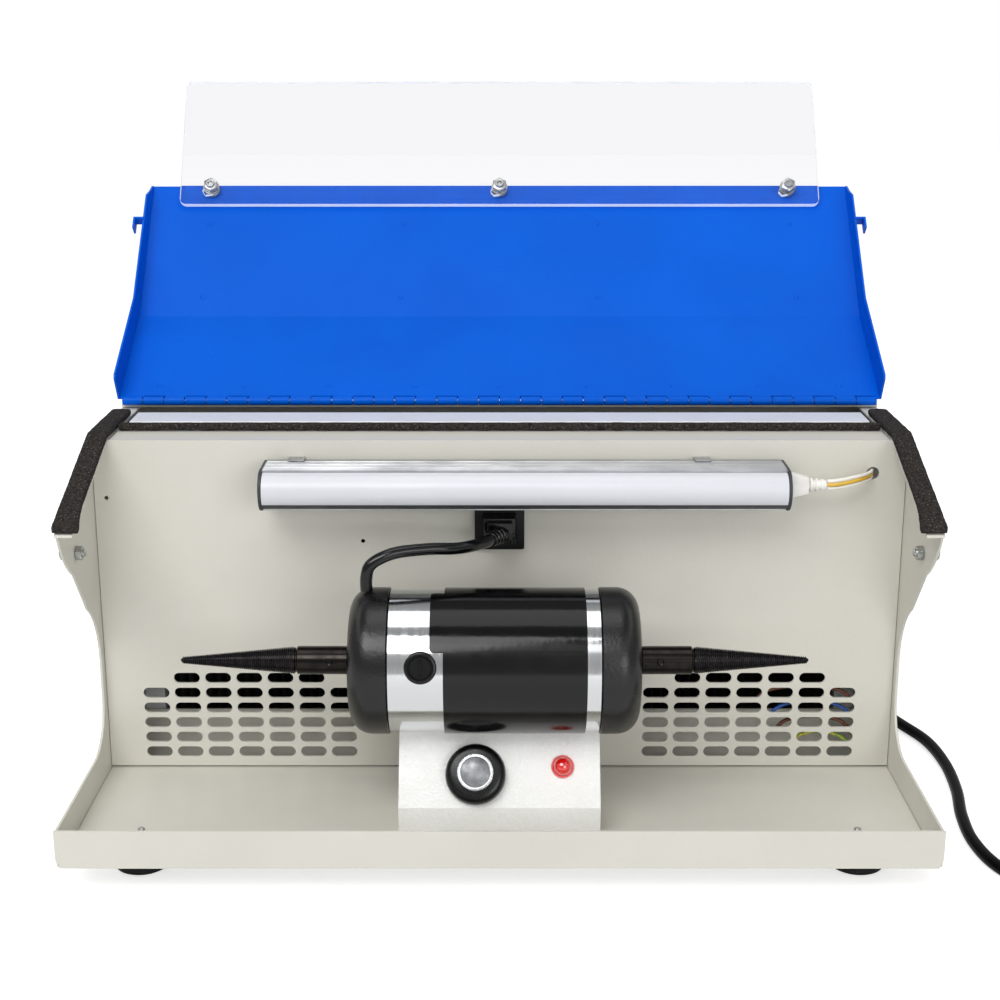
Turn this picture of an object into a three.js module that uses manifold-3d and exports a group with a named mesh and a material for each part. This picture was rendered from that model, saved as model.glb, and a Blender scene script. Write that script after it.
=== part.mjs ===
// A bench polishing machine with a dust case: a double-ended polishing motor on a
// control box stands in an open cream case, behind it a slotted wall, a lift-out
// filter and two exhaust fans, and on top a blue hood with a clear shield that
// folds down over the work.
// Millimetres. X to the right, Y from the front lip to the back, Z up.
import * as THREE from "three";
import { mergeVertices } from "three/addons/utils/BufferGeometryUtils.js";
import Module from "manifold-3d";

// Clearances and the overrun that every cut shares
const seam = 0.3;
const overrun = 4;
const runningGap = 0.6;
const fitGap = 0.4;

// Case sheet metal
const caseWidth = 460;
const fanChamber = 38.9;
const caseTop = 199;
const sheet = 1.5;
const trayDepth = 123.3;
const lipHeight = 21;
const lipCornerRadius = 6;
const sideLipHeight = 20.2;

// Side panel outline, from the tray up to the tip of the wing
const neckDepth = 117;
const neckHeight = 70;
const traySweepRadius = 28;
const shoulderRadius = 45;
const shoulderAngle = 60;
const browRadius = 65;
const browFront = 37.8;
const tipHeight = 168.6;
const topBendDepth = 126;
const topFlangeWidth = 10.5;

// Slotted wall
const slotLength = 15;
const slotHeight = 6.3;
const slotPitchX = 18.1;
const slotPitchZ = 9.2;
const slotMargin = 30.4;
const slotColumns = 7;
const slotRows = 6;
const lowestSlotHeight = 11.4;
const wallFlangeDepth = 28;
const wallFootDepth = 10;
const wallNotchHeight = 6;
const lampHoleInset = 20.5;
const lampHoleHeight = 180;
const lampHoleRadius = 3.6;

// Foam strips on the top edges
const foamThickness = 4.7;
const foamWidth = 12;
const foamOverhang = 0.6;
const foamFromHinge = 19.8;
const foamFrontStart = 21.5;
const foamFrontDepth = 6;

// Rear cover with its ledge and exhaust slots
const ledgeReach = -3;
const ventSlotHeight = 6.3;
const ventPitch = 12.4;
const ventRadius = 54;
const ventWeb = 7;

// Feet
const footHeight = 16.5;
const footRadius = 15;
const footTopRadius = 12.5;
const footRecessRadius = 5;
const footRecessDepth = 6;
const footInset = 37;
const footFrontDepth = 37;
const footRearInset = 34;
const studRadius = 2;
const studTip = 3.5;

// Piano hinge
const hingeFromFilter = 25.5;
const knucklePairs = 18;
const hingeEndInset = 1.4;
const knuckleRadius = 2.65;
const knuckleBoreRadius = 1.45;
const hingePinRadius = 1.25;
const knucklePlay = 0.5;
const hingeLeafWidth = 17;
const hingeLeafThickness = 1;

// Hood
const hoodSheet = 1.2;
const hoodOpenAngle = 29.3;
const hoodWingGap = 1.1;
const hoodLowerLength = 82.5;
const hoodUpperLength = 95.2;
const hoodBendAngle = 18.6;
const hoodLipLength = 7.5;
const hoodLipAngle = 28.7;
const hoodFlangeDepth = 17;
const hoodFlangeChamfer = 8;
const catchReach = 6;
const catchLeg = 8.5;
const catchWidth = 7;
const catchFromBend = 65;

// Clear shield and its bolts
const shieldInset = 17.7;
const shieldHeight = 92;
const shieldThickness = 4;
const shieldCornerRadius = 4.5;
const shieldOverlap = 12.3;
const shieldStandoff = 1.9;
const washerRadius = 4.9;
const shieldBoltInset = 20.8;
const shieldSlotLength = 11;
const shieldSlotAngle = 40;
const boltRadius = 3;
const boltEnd = 3;
const nutAcrossFlats = 10;
const nutThickness = 5;
const boltHeadThickness = 4;

// Hood latches on the wings
const latchDepth = 77.5;
const latchHeight = 147.3;
const latchScrewRadius = 2;
const latchNutRadius = 4;
const latchNutThickness = 3.2;
const latchCollarRadius = 3.5;
const latchHeadRadius = 4.2;
const latchHeadThickness = 2.4;
const latchLinkLength = 27;
const latchLinkWidth = 10;
const latchLinkThickness = 1.6;
const latchEyeLength = 9;
const latchEyeWidth = 3.4;

// Filter cassette and the channel that it stands in
const filterGap = 6;
const filterDepth = 25;
const filterInset = 16;
const filterTop = 202.3;
const filterRail = 12;
const mediaInset = 2;
const channelHeight = 25;
const channelGap = 0.8;

// Exhaust fans
const fanSize = 119.4;
const fanDepth = 25;
const fanPlaceShare = 0.4;
const fanHeight = 100;
const fanDuctRadius = 57.5;
const fanHubRadius = 19;
const fanHubPlate = 4;
const fanStrutWidth = 5;
const fanStruts = 4;
const impellerHubRadius = 20.5;
const impellerRadius = 55.5;
const impellerBlades = 7;
const bladeThickness = 1.8;
const bladeRootPitch = 50;
const bladeTipPitch = 28;
const bladeRootChord = 22;
const bladeChord = 30;
const impellerDepth = 17;

// Lamp on the wall
const lampLeftInset = 99;
const lampRightInset = 71.4;
const lampHeight = 177.2;
const lampSize = 22.8;
const lampBodyDepth = 24;
const lampDiffuserDepth = 9.5;
const lampWallGap = 3;
const lampCapLength = 5;
const lampRidge = 1.2;
const clipX = 113;
const clipWidth = 9;
const clipThickness = 0.8;
const clipArm = 9;
const lampPlugLength = 13;
const lampPlugWidth = 14;
const lampPlugThickness = 8;
const lampReliefLength = 9;
const lampReliefRadius = 2.6;
const lampLeadWidth = 4.6;
const lampLeadThickness = 1.6;

// Outlet in the wall and the motor's plug
const outletSize = 28;
const outletPlate = 3.5;
const outletHeight = 150.5;
const outletBodySize = 22;
const outletBodyDepth = 14;
const plugWidth = 17.6;
const plugHeight = 14;
const plugNoseDepth = 9;
const plugLength = 24;
const plugBootLength = 10;
const plugBootRadius = 5;
const leadDiameter = 6.6;

// Motor: its frame has the shaft along X and the origin at mid-length
const motorX = -2.6;
const motorDepth = 58.3;
const motorHeight = 93;
const motorLength = 156;
const motorRadius = 39.2;
const capLength = 22;
const capRounding = 12;
const capHubRadius = 14;
const capWall = 4;
const canRadius = 38.2;
const canWall = 2.6;
const bandLeftInset = 29.1;
const bandRightInset = 7.6;
const bandThickness = 0.5;
const magnetThickness = 8;
const magnetLength = 58;
const magnetHalfAngle = 55;
const bearingRadius = 11;
const bearingWidth = 7;
const bearingGap = 0.2;
const shaftRadius = 5;
const armatureRadius = 24;
const armatureLength = 54;
const commutatorRadius = 13;
const commutatorLength = 14;
const commutatorOffset = 32;
const brushCapInset = 17.5;
const brushCapRadius = 8.5;
const brushCapHeight = 2.6;
const brushStemRadius = 5.5;
const brushStemLength = 9;
const brushCapAngle = 14.8;
const screwSlotWidth = 2;
const screwSlotDepth = 1.2;

// Taper spindles
const sleeveRadius = 7.6;
const sleeveLength = 28;
const sleeveBoreDepth = 21;
const taperLength = 62.5;
const taperRootRadius = 6.8;
const taperTipRadius = 1.7;
const taperNeckLength = 2;

// Control box under the motor
const boxWidth = 108;
const boxFront = 32;
const boxHeight = 64.5;
const boxUpright = 17.1;
const boxLean = 30;
const boxFlange = 9;
const knobX = -12.8;
const knobRise = 17.6;
const potBushRadius = 3.6;
const potBushLength = 5;
const potRadius = 8.5;
const potDepth = 10;
const potStemRadius = 2.8;
const boardWidth = 54;
const boardHeight = 26;
const boardThickness = 1.6;
const knobRadius = 16.2;
const knobSkirt = 8;
const knobBevel = 2;
const knobCoreRadius = 7;
const knobCapRadius = 9.5;
const knobCapLength = 7;
const knobFlutes = 24;
const knobFluteDepth = 0.5;
const pilotX = 33.9;
const pilotRise = 21.9;
const pilotBezelRadius = 6.2;
const pilotBezel = 1.4;
const pilotDomeRadius = 5;
const pilotDome = 5;
const pilotStemRadius = 4;
const pilotStem = 14;

// Rocker switch and mains gland on the rear cover
const switchInset = 38;
const switchHeight = 74;
const switchWidth = 21;
const switchTall = 15;
const switchBezel = 2;
const switchBody = 12;
const rockerWidth = 16;
const rockerTall = 10.5;
const rockerRise = 2.6;
const rockerRestAngle = 8;
const glandInset = 40;
const glandHeight = 25;
const glandFlangeRadius = 9;
const glandFlange = 3;
const glandStem = 7;
const bootLength = 26;
const bootRootRadius = 6.5;
const bootTipRadius = 4.6;

// Mains cord, its coil and its plug
const cordDiameter = 7;
const coilFromCase = 105;
const coilDepth = 37;
const coilOuterRadius = 48;
const coilPitch = 7.6;
const coilInTurns = 2.75;
const coilOutTurns = 2.5;
const coilClimbTurns = 0.5;
const coilTailLength = 52;
const mainsPlugRadius = 18.5;
const mainsPlugLength = 42;
const mainsPlugGripRadius = 9;
const mainsPlugGripLength = 16;
const mainsPinRadius = 2.4;
const mainsPinLength = 19;
const mainsPinSpacing = 19;

// Roundness of the facets
const roundSides = 16;
const smallSides = 10;
const tubeSides = 8;
const arcSteps = 4;

// Sizes that follow from the ones above
const halfWidth = caseWidth / 2;
const slotInnerX = halfWidth - slotMargin - (slotColumns - 1) * slotPitchX;
const lampHoleX = halfWidth - lampHoleInset;
const footX = halfWidth - footInset;
const filterHalfWidth = halfWidth - filterInset;
const fanX = halfWidth * fanPlaceShare;
const switchX = halfWidth - switchInset;
const glandX = halfWidth - glandInset;
const coilX = halfWidth + coilFromCase;
const knucklePitch = (caseWidth - 2 * hingeEndInset) / knucklePairs;
const lampLeft = lampLeftInset - halfWidth;
const lampLength = caseWidth - lampLeftInset - lampRightInset;
const shieldWidth = caseWidth - 2 * shieldInset;
const shieldBoltX = shieldWidth / 2 - shieldBoltInset;
const filterFront = trayDepth + wallFlangeDepth + filterGap;
const caseDepth = filterFront + filterDepth + fanChamber + fanDepth + sheet + seam;
const hingeAxisDepth = filterFront + filterDepth + hingeFromFilter;
const ledgeFront = hingeAxisDepth - ledgeReach;
const foamSideEnd = hingeAxisDepth - foamFromHinge;
const wallBack = trayDepth + sheet;
const ledgeBottom = caseTop + seam + seam / 4;
const ledgeTop = ledgeBottom + sheet;
const hingeAxisHeight = ledgeTop + seam + knuckleRadius;
const innerHalf = halfWidth - sheet - seam;
const flangeInnerX = halfWidth - topFlangeWidth;
const foamOuterX = halfWidth + foamOverhang;
const foamInnerX = foamOuterX - foamWidth;
const rearInner = caseDepth - sheet - seam;
const hoodHalf = halfWidth + hoodWingGap + hoodSheet;
const canHalf = motorLength / 2 - capLength - seam;
const bandLeft = bandLeftInset - canHalf;
const bandWidth = 2 * canHalf - bandLeftInset - bandRightInset;
const brushCapX = brushCapInset - canHalf;
const capInner = motorLength / 2 - capLength;
const bandRadius = canRadius + seam + bandThickness;
const boxHalf = boxWidth / 2;
const boxRear = 2 * motorDepth - boxFront;
const floorTop = sheet + seam;
const boxBend = floorTop + boxUpright;
const panelLean = THREE.MathUtils.degToRad(boxLean);

const wasm = await Module();
wasm.setup();

// Colours and finishes
const finish = (color, roughness, metalness) =>
  new THREE.MeshStandardMaterial({ color, roughness, metalness });
const cream = () => finish(0xd2d0c6, 0.62, 0.1);
const blue = () => finish(0x0f6ae0, 0.45, 0.1);
const zinc = () => finish(0xb9bbba, 0.35, 0.9);
const chrome = () => finish(0xd8dadb, 0.12, 1);
const blackPlastic = () => finish(0x111213, 0.4, 0);
const blackRubber = () => finish(0x17181a, 0.75, 0);
const darkFoam = () => finish(0x3a3735, 0.95, 0);
const aluminium = () => finish(0xc9cbcc, 0.4, 0.8);
const whitePlastic = () => finish(0xf2f1ee, 0.45, 0);
const blackSteel = () => finish(0x26272a, 0.4, 0.7);
const copper = () => finish(0xa8643a, 0.45, 0.8);

// A closed geometry as a solid that can be joined and cut
function solidOf(geometry) {
  const plain = geometry.index ? geometry.toNonIndexed() : geometry.clone();
  plain.deleteAttribute("normal");
  plain.deleteAttribute("uv");
  const merged = mergeVertices(plain, 1e-4);
  const corners = Array.from(merged.index.array);
  const kept = [];
  for (let i = 0; i < corners.length; i += 3) {
    const [a, b, c] = corners.slice(i, i + 3);
    if (a !== b && b !== c && c !== a) kept.push(a, b, c);
  }
  const mesh = new wasm.Mesh({
    numProp: 3,
    vertProperties: merged.attributes.position.array,
    triVerts: new Uint32Array(kept),
  });
  return new wasm.Manifold(mesh);
}

function geometryOf(solid) {
  const mesh = solid.getMesh();
  const geometry = new THREE.BufferGeometry();
  geometry.setAttribute("position", new THREE.BufferAttribute(mesh.vertProperties, mesh.numProp));
  geometry.setIndex(new THREE.BufferAttribute(mesh.triVerts, 1));
  geometry.computeVertexNormals();
  return geometry;
}

function join(...geometries) {
  const solids = geometries.map(solidOf);
  return geometryOf(solids.reduce((whole, next) => whole.add(next)));
}

function cut(body, ...tools) {
  const solids = tools.map(solidOf);
  return geometryOf(solids.reduce((whole, next) => whole.subtract(next), solidOf(body)));
}

// The same piece on the other side of the case
function mirrored(geometry) {
  const flipped = geometryOf(solidOf(geometry));
  flipped.scale(-1, 1, 1);
  const corners = flipped.index.array;
  for (let i = 0; i < corners.length; i += 3) {
    [corners[i], corners[i + 1]] = [corners[i + 1], corners[i]];
  }
  flipped.computeVertexNormals();
  return flipped;
}

function block(xs, ys, zs) {
  const size = [xs, ys, zs].map(([low, high]) => high - low);
  const centre = [xs, ys, zs].map(([low, high]) => (low + high) / 2);
  return new THREE.BoxGeometry(...size).translate(...centre);
}

function extruded(shape, depth, curveSegments = arcSteps) {
  return new THREE.ExtrudeGeometry(shape, { depth, bevelEnabled: false, curveSegments });
}

// An outline drawn in X and Z, thick from one depth to another
function panel(shape, yFrom, yTo) {
  return extruded(shape, yTo - yFrom).rotateX(Math.PI / 2).translate(0, yTo, 0);
}

// An outline drawn in Y and Z, long from one X to another
function profileAlongX(shape, xFrom, xTo) {
  const turn = new THREE.Matrix4().makeBasis(
    new THREE.Vector3(0, 1, 0),
    new THREE.Vector3(0, 0, 1),
    new THREE.Vector3(1, 0, 0),
  );
  return extruded(shape, xTo - xFrom).applyMatrix4(turn).translate(xFrom, 0, 0);
}

function outlineOf(points) {
  return new THREE.Shape(points.map(([a, b]) => new THREE.Vector2(a, b)));
}

function rectangle(left, bottom, right, top, radius = 0) {
  const shape = new THREE.Shape();
  if (!radius) {
    return outlineOf([[left, bottom], [right, bottom], [right, top], [left, top]]);
  }
  shape.absarc(right - radius, top - radius, radius, 0, Math.PI / 2);
  shape.absarc(left + radius, top - radius, radius, Math.PI / 2, Math.PI);
  shape.absarc(left + radius, bottom + radius, radius, Math.PI, 1.5 * Math.PI);
  shape.absarc(right - radius, bottom + radius, radius, 1.5 * Math.PI, 2 * Math.PI);
  return shape;
}

// A slot with round ends, drawn about its middle
function stadium(x, y, length, height, angle = 0) {
  const path = new THREE.Path();
  const radius = height / 2;
  const reach = length / 2 - radius;
  const steps = arcSteps - 1;
  for (const end of [0, 1]) {
    for (let i = 0; i <= steps; i += 1) {
      const turn = Math.PI * (end - 0.5 + i / steps);
      const side = end ? -reach : reach;
      const px = side + radius * Math.cos(turn);
      const py = radius * Math.sin(turn);
      const spot = [
        x + px * Math.cos(angle) - py * Math.sin(angle),
        y + px * Math.sin(angle) + py * Math.cos(angle),
      ];
      if (end || i) path.lineTo(...spot);
      else path.moveTo(...spot);
    }
  }
  path.closePath();
  return path;
}

// A round hole, its flats on the radius so that what passes through it is clear
function circle(x, y, radius, sides = smallSides) {
  const spots = [];
  for (let i = 0; i < sides; i += 1) {
    const turn = (-2 * Math.PI * i) / sides;
    const reach = radius / Math.cos(Math.PI / sides);
    spots.push(new THREE.Vector2(x + reach * Math.cos(turn), y + reach * Math.sin(turn)));
  }
  return new THREE.Path(spots);
}

// A turned piece on the X axis: its profile lists [distance along X, radius]
function turnedX(profile, sides = roundSides) {
  const points = profile.map(([along, radius]) => new THREE.Vector2(radius, along));
  return new THREE.LatheGeometry(points, sides).rotateZ(-Math.PI / 2);
}

// The same on the Y axis, its profile lists [distance along Y, radius]
function turnedY(profile, sides = roundSides) {
  const points = profile.map(([along, radius]) => new THREE.Vector2(radius, along));
  return new THREE.LatheGeometry(points, sides);
}

// The same on the Z axis, its profile lists [height, radius]
function turnedZ(profile, sides = roundSides) {
  return turnedY(profile, sides).rotateX(Math.PI / 2);
}

function rodX(radius, from, to, sides = smallSides) {
  return turnedX([[from, 0], [from, radius], [to, radius], [to, 0]], sides);
}

function rodY(radius, from, to, sides = smallSides) {
  return turnedY([[from, 0], [from, radius], [to, radius], [to, 0]], sides);
}

function hexNutX(acrossFlats, from, to) {
  return rodX(acrossFlats / Math.sqrt(3), from, to, 6);
}

// A round tube along a smooth route
function tube(points, radius, steps, sides = tubeSides) {
  const route = new THREE.CatmullRomCurve3(points.map((p) => new THREE.Vector3(...p)), false, "centripetal");
  const section = new THREE.Shape();
  for (let i = 0; i < sides; i += 1) {
    const turn = (2 * Math.PI * i) / sides;
    const spot = [radius * Math.cos(turn), radius * Math.sin(turn)];
    if (i) section.lineTo(...spot);
    else section.moveTo(...spot);
  }
  section.closePath();
  return new THREE.ExtrudeGeometry(section, { steps, extrudePath: route, bevelEnabled: false });
}

// Case sheet metal

function basePan() {
  const front = new THREE.Shape();
  front.moveTo(-halfWidth, lipHeight);
  front.lineTo(-halfWidth, lipCornerRadius);
  front.absarc(-halfWidth + lipCornerRadius, lipCornerRadius, lipCornerRadius, Math.PI, 1.5 * Math.PI);
  front.absarc(halfWidth - lipCornerRadius, lipCornerRadius, lipCornerRadius, 1.5 * Math.PI, 2 * Math.PI);
  front.lineTo(halfWidth, lipHeight);
  const floor = rectangle(-innerHalf, 0, innerHalf, rearInner);
  for (const [x, y] of footSpots()) floor.holes.push(circle(x, y, studRadius + fitGap));
  const lips = [
    filterFront - channelGap - sheet,
    filterFront + filterDepth + channelGap,
  ].map((y) => block([-innerHalf, innerHalf], [y, y + sheet], [0, channelHeight]));
  return join(extruded(floor, sheet), panel(front, 0, sheet), ...lips);
}

function footSpots() {
  const rear = caseDepth - footRearInset;
  return [[-footX, footFrontDepth], [footX, footFrontDepth], [-footX, rear], [footX, rear]];
}

// The edge of the wing: up from the tray lip, back in at the neck, out over the
// shoulder and up round the brow to the tip
function sideOutline() {
  const turn = THREE.MathUtils.degToRad(shoulderAngle);
  const shoulder = [neckDepth - shoulderRadius, neckHeight];
  const shoulderEnd = [
    shoulder[0] + shoulderRadius * Math.cos(turn),
    shoulder[1] + shoulderRadius * Math.sin(turn),
  ];
  const browX = browFront + browRadius;
  const browStart = browX - browRadius * Math.sin(Math.PI / 2 - turn + Math.PI / 6);
  const rise = (shoulderEnd[0] - browStart) * Math.tan(Math.PI / 2 - turn);
  const browZ = shoulderEnd[1] + rise + browRadius * Math.cos(Math.PI / 2 - turn);
  const tipTurn = Math.PI + Math.asin((browZ - tipHeight) / browRadius);
  const side = new THREE.Shape();
  side.moveTo(sheet + seam, 0);
  side.lineTo(rearInner, 0);
  side.lineTo(rearInner, caseTop);
  side.lineTo(topBendDepth, caseTop);
  side.lineTo(browX + browRadius * Math.cos(tipTurn), tipHeight);
  side.absarc(browX, browZ, browRadius, tipTurn, 1.5 * Math.PI - (Math.PI / 2 - turn), false);
  side.absarc(shoulder[0], shoulder[1], shoulderRadius, turn, 0, true);
  side.lineTo(neckDepth, sideLipHeight + traySweepRadius);
  side.absarc(
    neckDepth - traySweepRadius,
    sideLipHeight + traySweepRadius,
    traySweepRadius,
    0,
    -Math.PI / 2,
    true,
  );
  side.lineTo(sheet + seam, sideLipHeight);
  return side;
}

function sidePanel() {
  const plate = profileAlongX(sideOutline(), halfWidth - sheet, halfWidth);
  const tipFront = browFront + seam;
  const flange = outlineOf([
    [tipFront, tipHeight],
    [tipFront, tipHeight - sheet],
    [topBendDepth, caseTop - sheet],
    [rearInner, caseTop - sheet],
    [rearInner, caseTop],
    [topBendDepth, caseTop],
  ]);
  const hole = rodX(latchScrewRadius + fitGap, halfWidth - overrun, halfWidth + overrun)
    .translate(0, latchDepth, latchHeight);
  return cut(join(plate, profileAlongX(flange, flangeInnerX, halfWidth - sheet / 2)), hole);
}

// The slotted wall behind the work, with a block of slots on each side and its middle
// left whole behind the motor
function perforatedWall() {
  const notch = foamInnerX - seam;
  const shape = outlineOf([
    [-innerHalf, floorTop],
    [innerHalf, floorTop],
    [innerHalf, caseTop - wallNotchHeight],
    [notch, caseTop - wallNotchHeight],
    [notch, caseTop],
    [-notch, caseTop],
    [-notch, caseTop - wallNotchHeight],
    [-innerHalf, caseTop - wallNotchHeight],
  ]);
  for (const side of [-1, 1]) {
    for (let row = 0; row < slotRows; row += 1) {
      const isTop = row === slotRows - 1;
      for (let column = isTop ? 1 : 0; column < slotColumns - (isTop ? 1 : 0); column += 1) {
        const x = side * (slotInnerX + column * slotPitchX);
        shape.holes.push(stadium(x, lowestSlotHeight + row * slotPitchZ, slotLength, slotHeight));
      }
    }
  }
  shape.holes.push(circle(lampHoleX, lampHoleHeight, lampHoleRadius));
  const outlet = outletBodySize / 2 + fitGap;
  shape.holes.push(
    rectangle(-outlet, outletHeight - outlet, outlet, outletHeight + outlet),
  );
  const top = block([-notch, notch], [trayDepth, trayDepth + wallFlangeDepth], [caseTop - sheet, caseTop]);
  const foot = block([-innerHalf, innerHalf], [trayDepth, trayDepth + wallFootDepth], [floorTop, floorTop + sheet]);
  return join(panel(shape, trayDepth, wallBack), top, foot);
}

function rearPanel() {
  const shape = rectangle(-halfWidth, 0, halfWidth, ledgeTop);
  for (const side of [-1, 1]) ventSlots(side * fanX).forEach((slot) => shape.holes.push(slot));
  shape.holes.push(circle(glandX, glandHeight, glandStem + fitGap));
  const wide = switchWidth / 2 - switchBezel / 2;
  const tall = switchTall / 2 - switchBezel / 2;
  shape.holes.push(rectangle(switchX - wide, switchHeight - tall, switchX + wide, switchHeight + tall));
  const ledge = block([-halfWidth, halfWidth], [ledgeFront, caseDepth], [ledgeBottom, ledgeTop]);
  return join(panel(shape, caseDepth - sheet, caseDepth), ledge);
}

// Rows of slots that fill a circle in front of one fan, split by a web down the middle
function ventSlots(centreX) {
  const slots = [];
  const rows = Math.floor(ventRadius / ventPitch);
  for (let row = -rows; row <= rows; row += 1) {
    const rise = Math.abs(row) * ventPitch + ventSlotHeight / 2;
    const chord = Math.sqrt(Math.max(ventRadius ** 2 - rise ** 2, 0));
    const length = chord - ventWeb / 2;
    if (length < 2 * ventSlotHeight) continue;
    for (const side of [-1, 1]) {
      const middle = centreX + side * (ventWeb / 2 + length / 2);
      slots.push(stadium(middle, fanHeight + row * ventPitch, length, ventSlotHeight));
    }
  }
  return slots;
}

// Foam strips

function sideFoam() {
  const slope = (caseTop - tipHeight) / (topBendDepth - browFront);
  const tip = browFront - seam;
  const tipZ = tipHeight - seam * slope + seam;
  const strip = outlineOf([
    [tip, tipZ],
    [topBendDepth, caseTop + seam],
    [foamSideEnd, caseTop + seam],
    [foamSideEnd, caseTop + foamThickness],
    [topBendDepth - slope * foamThickness / 2, caseTop + foamThickness],
    [tip, tipZ + foamThickness],
  ]);
  return profileAlongX(strip, foamInnerX, foamOuterX);
}

function frontFoam() {
  const start = trayDepth + foamFrontStart;
  const half = foamInnerX - seam;
  return block([-half, half], [start, start + foamFrontDepth], [caseTop + seam, caseTop + foamThickness]);
}

// A rubber bumper foot with the stud that holds it, seen as a tip on the tray floor
function foot() {
  const top = -seam;
  return turnedZ([
    [footRecessDepth - footHeight, 0],
    [footRecessDepth - footHeight, footRecessRadius],
    [-footHeight, footRecessRadius],
    [-footHeight, footRadius - footRadius / 8],
    [-footHeight + footRadius / 8, footRadius],
    [top, footTopRadius],
    [top, studRadius],
    [sheet + studTip, studRadius],
    [sheet + studTip, 0],
  ], smallSides);
}

// Piano hinge. Its knuckles alternate between the leaf on the case and the leaf on
// the hood, and one pin runs through them all.

function hingeLeaf(first) {
  const half = (knucklePairs * knucklePitch) / 2;
  const single = knucklePitch / 2;
  const bottom = -knuckleRadius;
  const top = bottom + hingeLeafThickness;
  const free = knuckleRadius + runningGap;
  const pieces = [block([-half, half], [free, hingeLeafWidth], [bottom, top])];
  const bores = [];
  for (let i = first; i < 2 * knucklePairs; i += 2) {
    const from = -half + i * single + knucklePlay / 2;
    const to = -half + (i + 1) * single - knucklePlay / 2;
    pieces.push(rodX(knuckleRadius, from, to, tubeSides).rotateX(Math.PI / tubeSides));
    pieces.push(block([from, to], [0, free + seam], [bottom * Math.cos(Math.PI / tubeSides), top]));
    bores.push(rodX(knuckleBoreRadius, from - seam / 2, to + seam / 2, tubeSides));
  }
  return cut(join(...pieces), ...bores);
}

function hingePin() {
  const half = (knucklePairs * knucklePitch) / 2;
  return rodX(hingePinRadius, -half, half, tubeSides);
}

// Hood. Its frame has the hinge axis as origin, the lower panel along Y and the
// side towards the work facing up.

const hoodStart = knuckleRadius + runningGap;
const hoodUnder = -knuckleRadius + hingeLeafThickness + seam / 3;

// The inner line of the folded sheet, as [along, up] points
function hoodLine() {
  const bend = THREE.MathUtils.degToRad(hoodBendAngle);
  const lip = THREE.MathUtils.degToRad(hoodLipAngle);
  const top = hoodUnder + hoodSheet;
  const corner = [hoodLowerLength, top];
  const crease = [
    corner[0] + hoodUpperLength * Math.cos(bend),
    corner[1] + hoodUpperLength * Math.sin(bend),
  ];
  const edge = [
    crease[0] + hoodLipLength * Math.cos(lip),
    crease[1] + hoodLipLength * Math.sin(lip),
  ];
  return [[hoodStart, top], corner, crease, edge];
}

// The same line moved square to itself, with mitred corners
function offsetLine(line, distance) {
  return line.map((point, i) => {
    const before = line[Math.max(i - 1, 0)];
    const after = line[Math.min(i + 1, line.length - 1)];
    const angles = [[before, point], [point, after]]
      .filter(([a, b]) => a !== b)
      .map(([a, b]) => Math.atan2(b[1] - a[1], b[0] - a[0]));
    const mean = angles.reduce((sum, angle) => sum + angle) / angles.length;
    const reach = distance / Math.cos(mean - angles[0]);
    return [point[0] - reach * Math.sin(mean), point[1] + reach * Math.cos(mean)];
  });
}

function hoodPanel() {
  const inner = hoodLine();
  const outer = offsetLine(inner, -hoodSheet);
  const skin = profileAlongX(outlineOf([...inner, ...[...outer].reverse()]), -hoodHalf, hoodHalf);
  const holes = shieldBoltSpots().map((x) => onShieldPlane(
    rodY(boltRadius + fitGap, -overrun, hoodSheet + overrun).translate(x, 0, 0),
  ));
  const pieces = [skin];
  for (const side of [-1, 1]) {
    pieces.push(hoodFlange(side), ...hoodCatch(side));
  }
  return cut(join(...pieces), ...holes);
}

function hoodFlange(side) {
  const [start, corner, crease, edge] = hoodLine();
  const rim = offsetLine([start, corner, crease, edge], hoodFlangeDepth);
  const low = [start[0], start[1] - hoodSheet / 2];
  const shape = outlineOf([
    low,
    [corner[0], corner[1] - hoodSheet / 2],
    [crease[0], crease[1] - hoodSheet / 2],
    [edge[0], edge[1] - hoodSheet / 2],
    [edge[0] - hoodSheet, edge[1] + hoodSheet],
    [rim[2][0] + hoodFlangeChamfer / 4, rim[2][1] - hoodFlangeChamfer],
    [rim[2][0] - hoodFlangeChamfer, rim[2][1] - hoodFlangeChamfer / 2],
    rim[1],
    [low[0] + hoodFlangeChamfer / 4, rim[0][1]],
    [low[0], rim[0][1] - hoodFlangeChamfer / 4],
  ]);
  const inside = side > 0 ? hoodHalf - hoodSheet : -hoodHalf;
  return profileAlongX(shape, inside, inside + hoodSheet);
}

// A bent strip on the outer face of the flange, that a latch link hooks over
function hoodCatch(side) {
  const bend = THREE.MathUtils.degToRad(hoodBendAngle);
  const [, corner] = hoodLine();
  const arm = [side * (hoodHalf - hoodSheet / 2), side * (hoodHalf + catchReach)].sort((a, b) => a - b);
  const legSide = [
    side * (hoodHalf + catchReach - hoodSheet),
    side * (hoodHalf + catchReach),
  ].sort((a, b) => a - b);
  const up = hoodFlangeDepth - catchWidth / 2;
  const pieces = [
    block(arm, [catchFromBend, catchFromBend + hoodSheet], [up - catchWidth / 2, up + catchWidth / 2]),
    block(
      legSide,
      [catchFromBend + hoodSheet - catchLeg, catchFromBend + hoodSheet],
      [up - catchWidth / 2, up + catchWidth / 2],
    ),
  ];
  return pieces.map((piece) => piece.rotateX(bend).translate(0, ...corner));
}

function shieldBoltSpots() {
  return [-shieldBoltX, 0, shieldBoltX];
}

// The shield lies on the hood's lip, so its pieces are made with the lip upright:
// Z runs up along the lip, and the side towards the work has Y below zero
function onShieldPlane(geometry) {
  const lip = THREE.MathUtils.degToRad(hoodLipAngle);
  const [, , crease, edge] = hoodLine();
  return geometry
    .rotateX(lip - Math.PI / 2)
    .translate(0, (crease[0] + edge[0]) / 2, (crease[1] + edge[1]) / 2);
}

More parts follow.
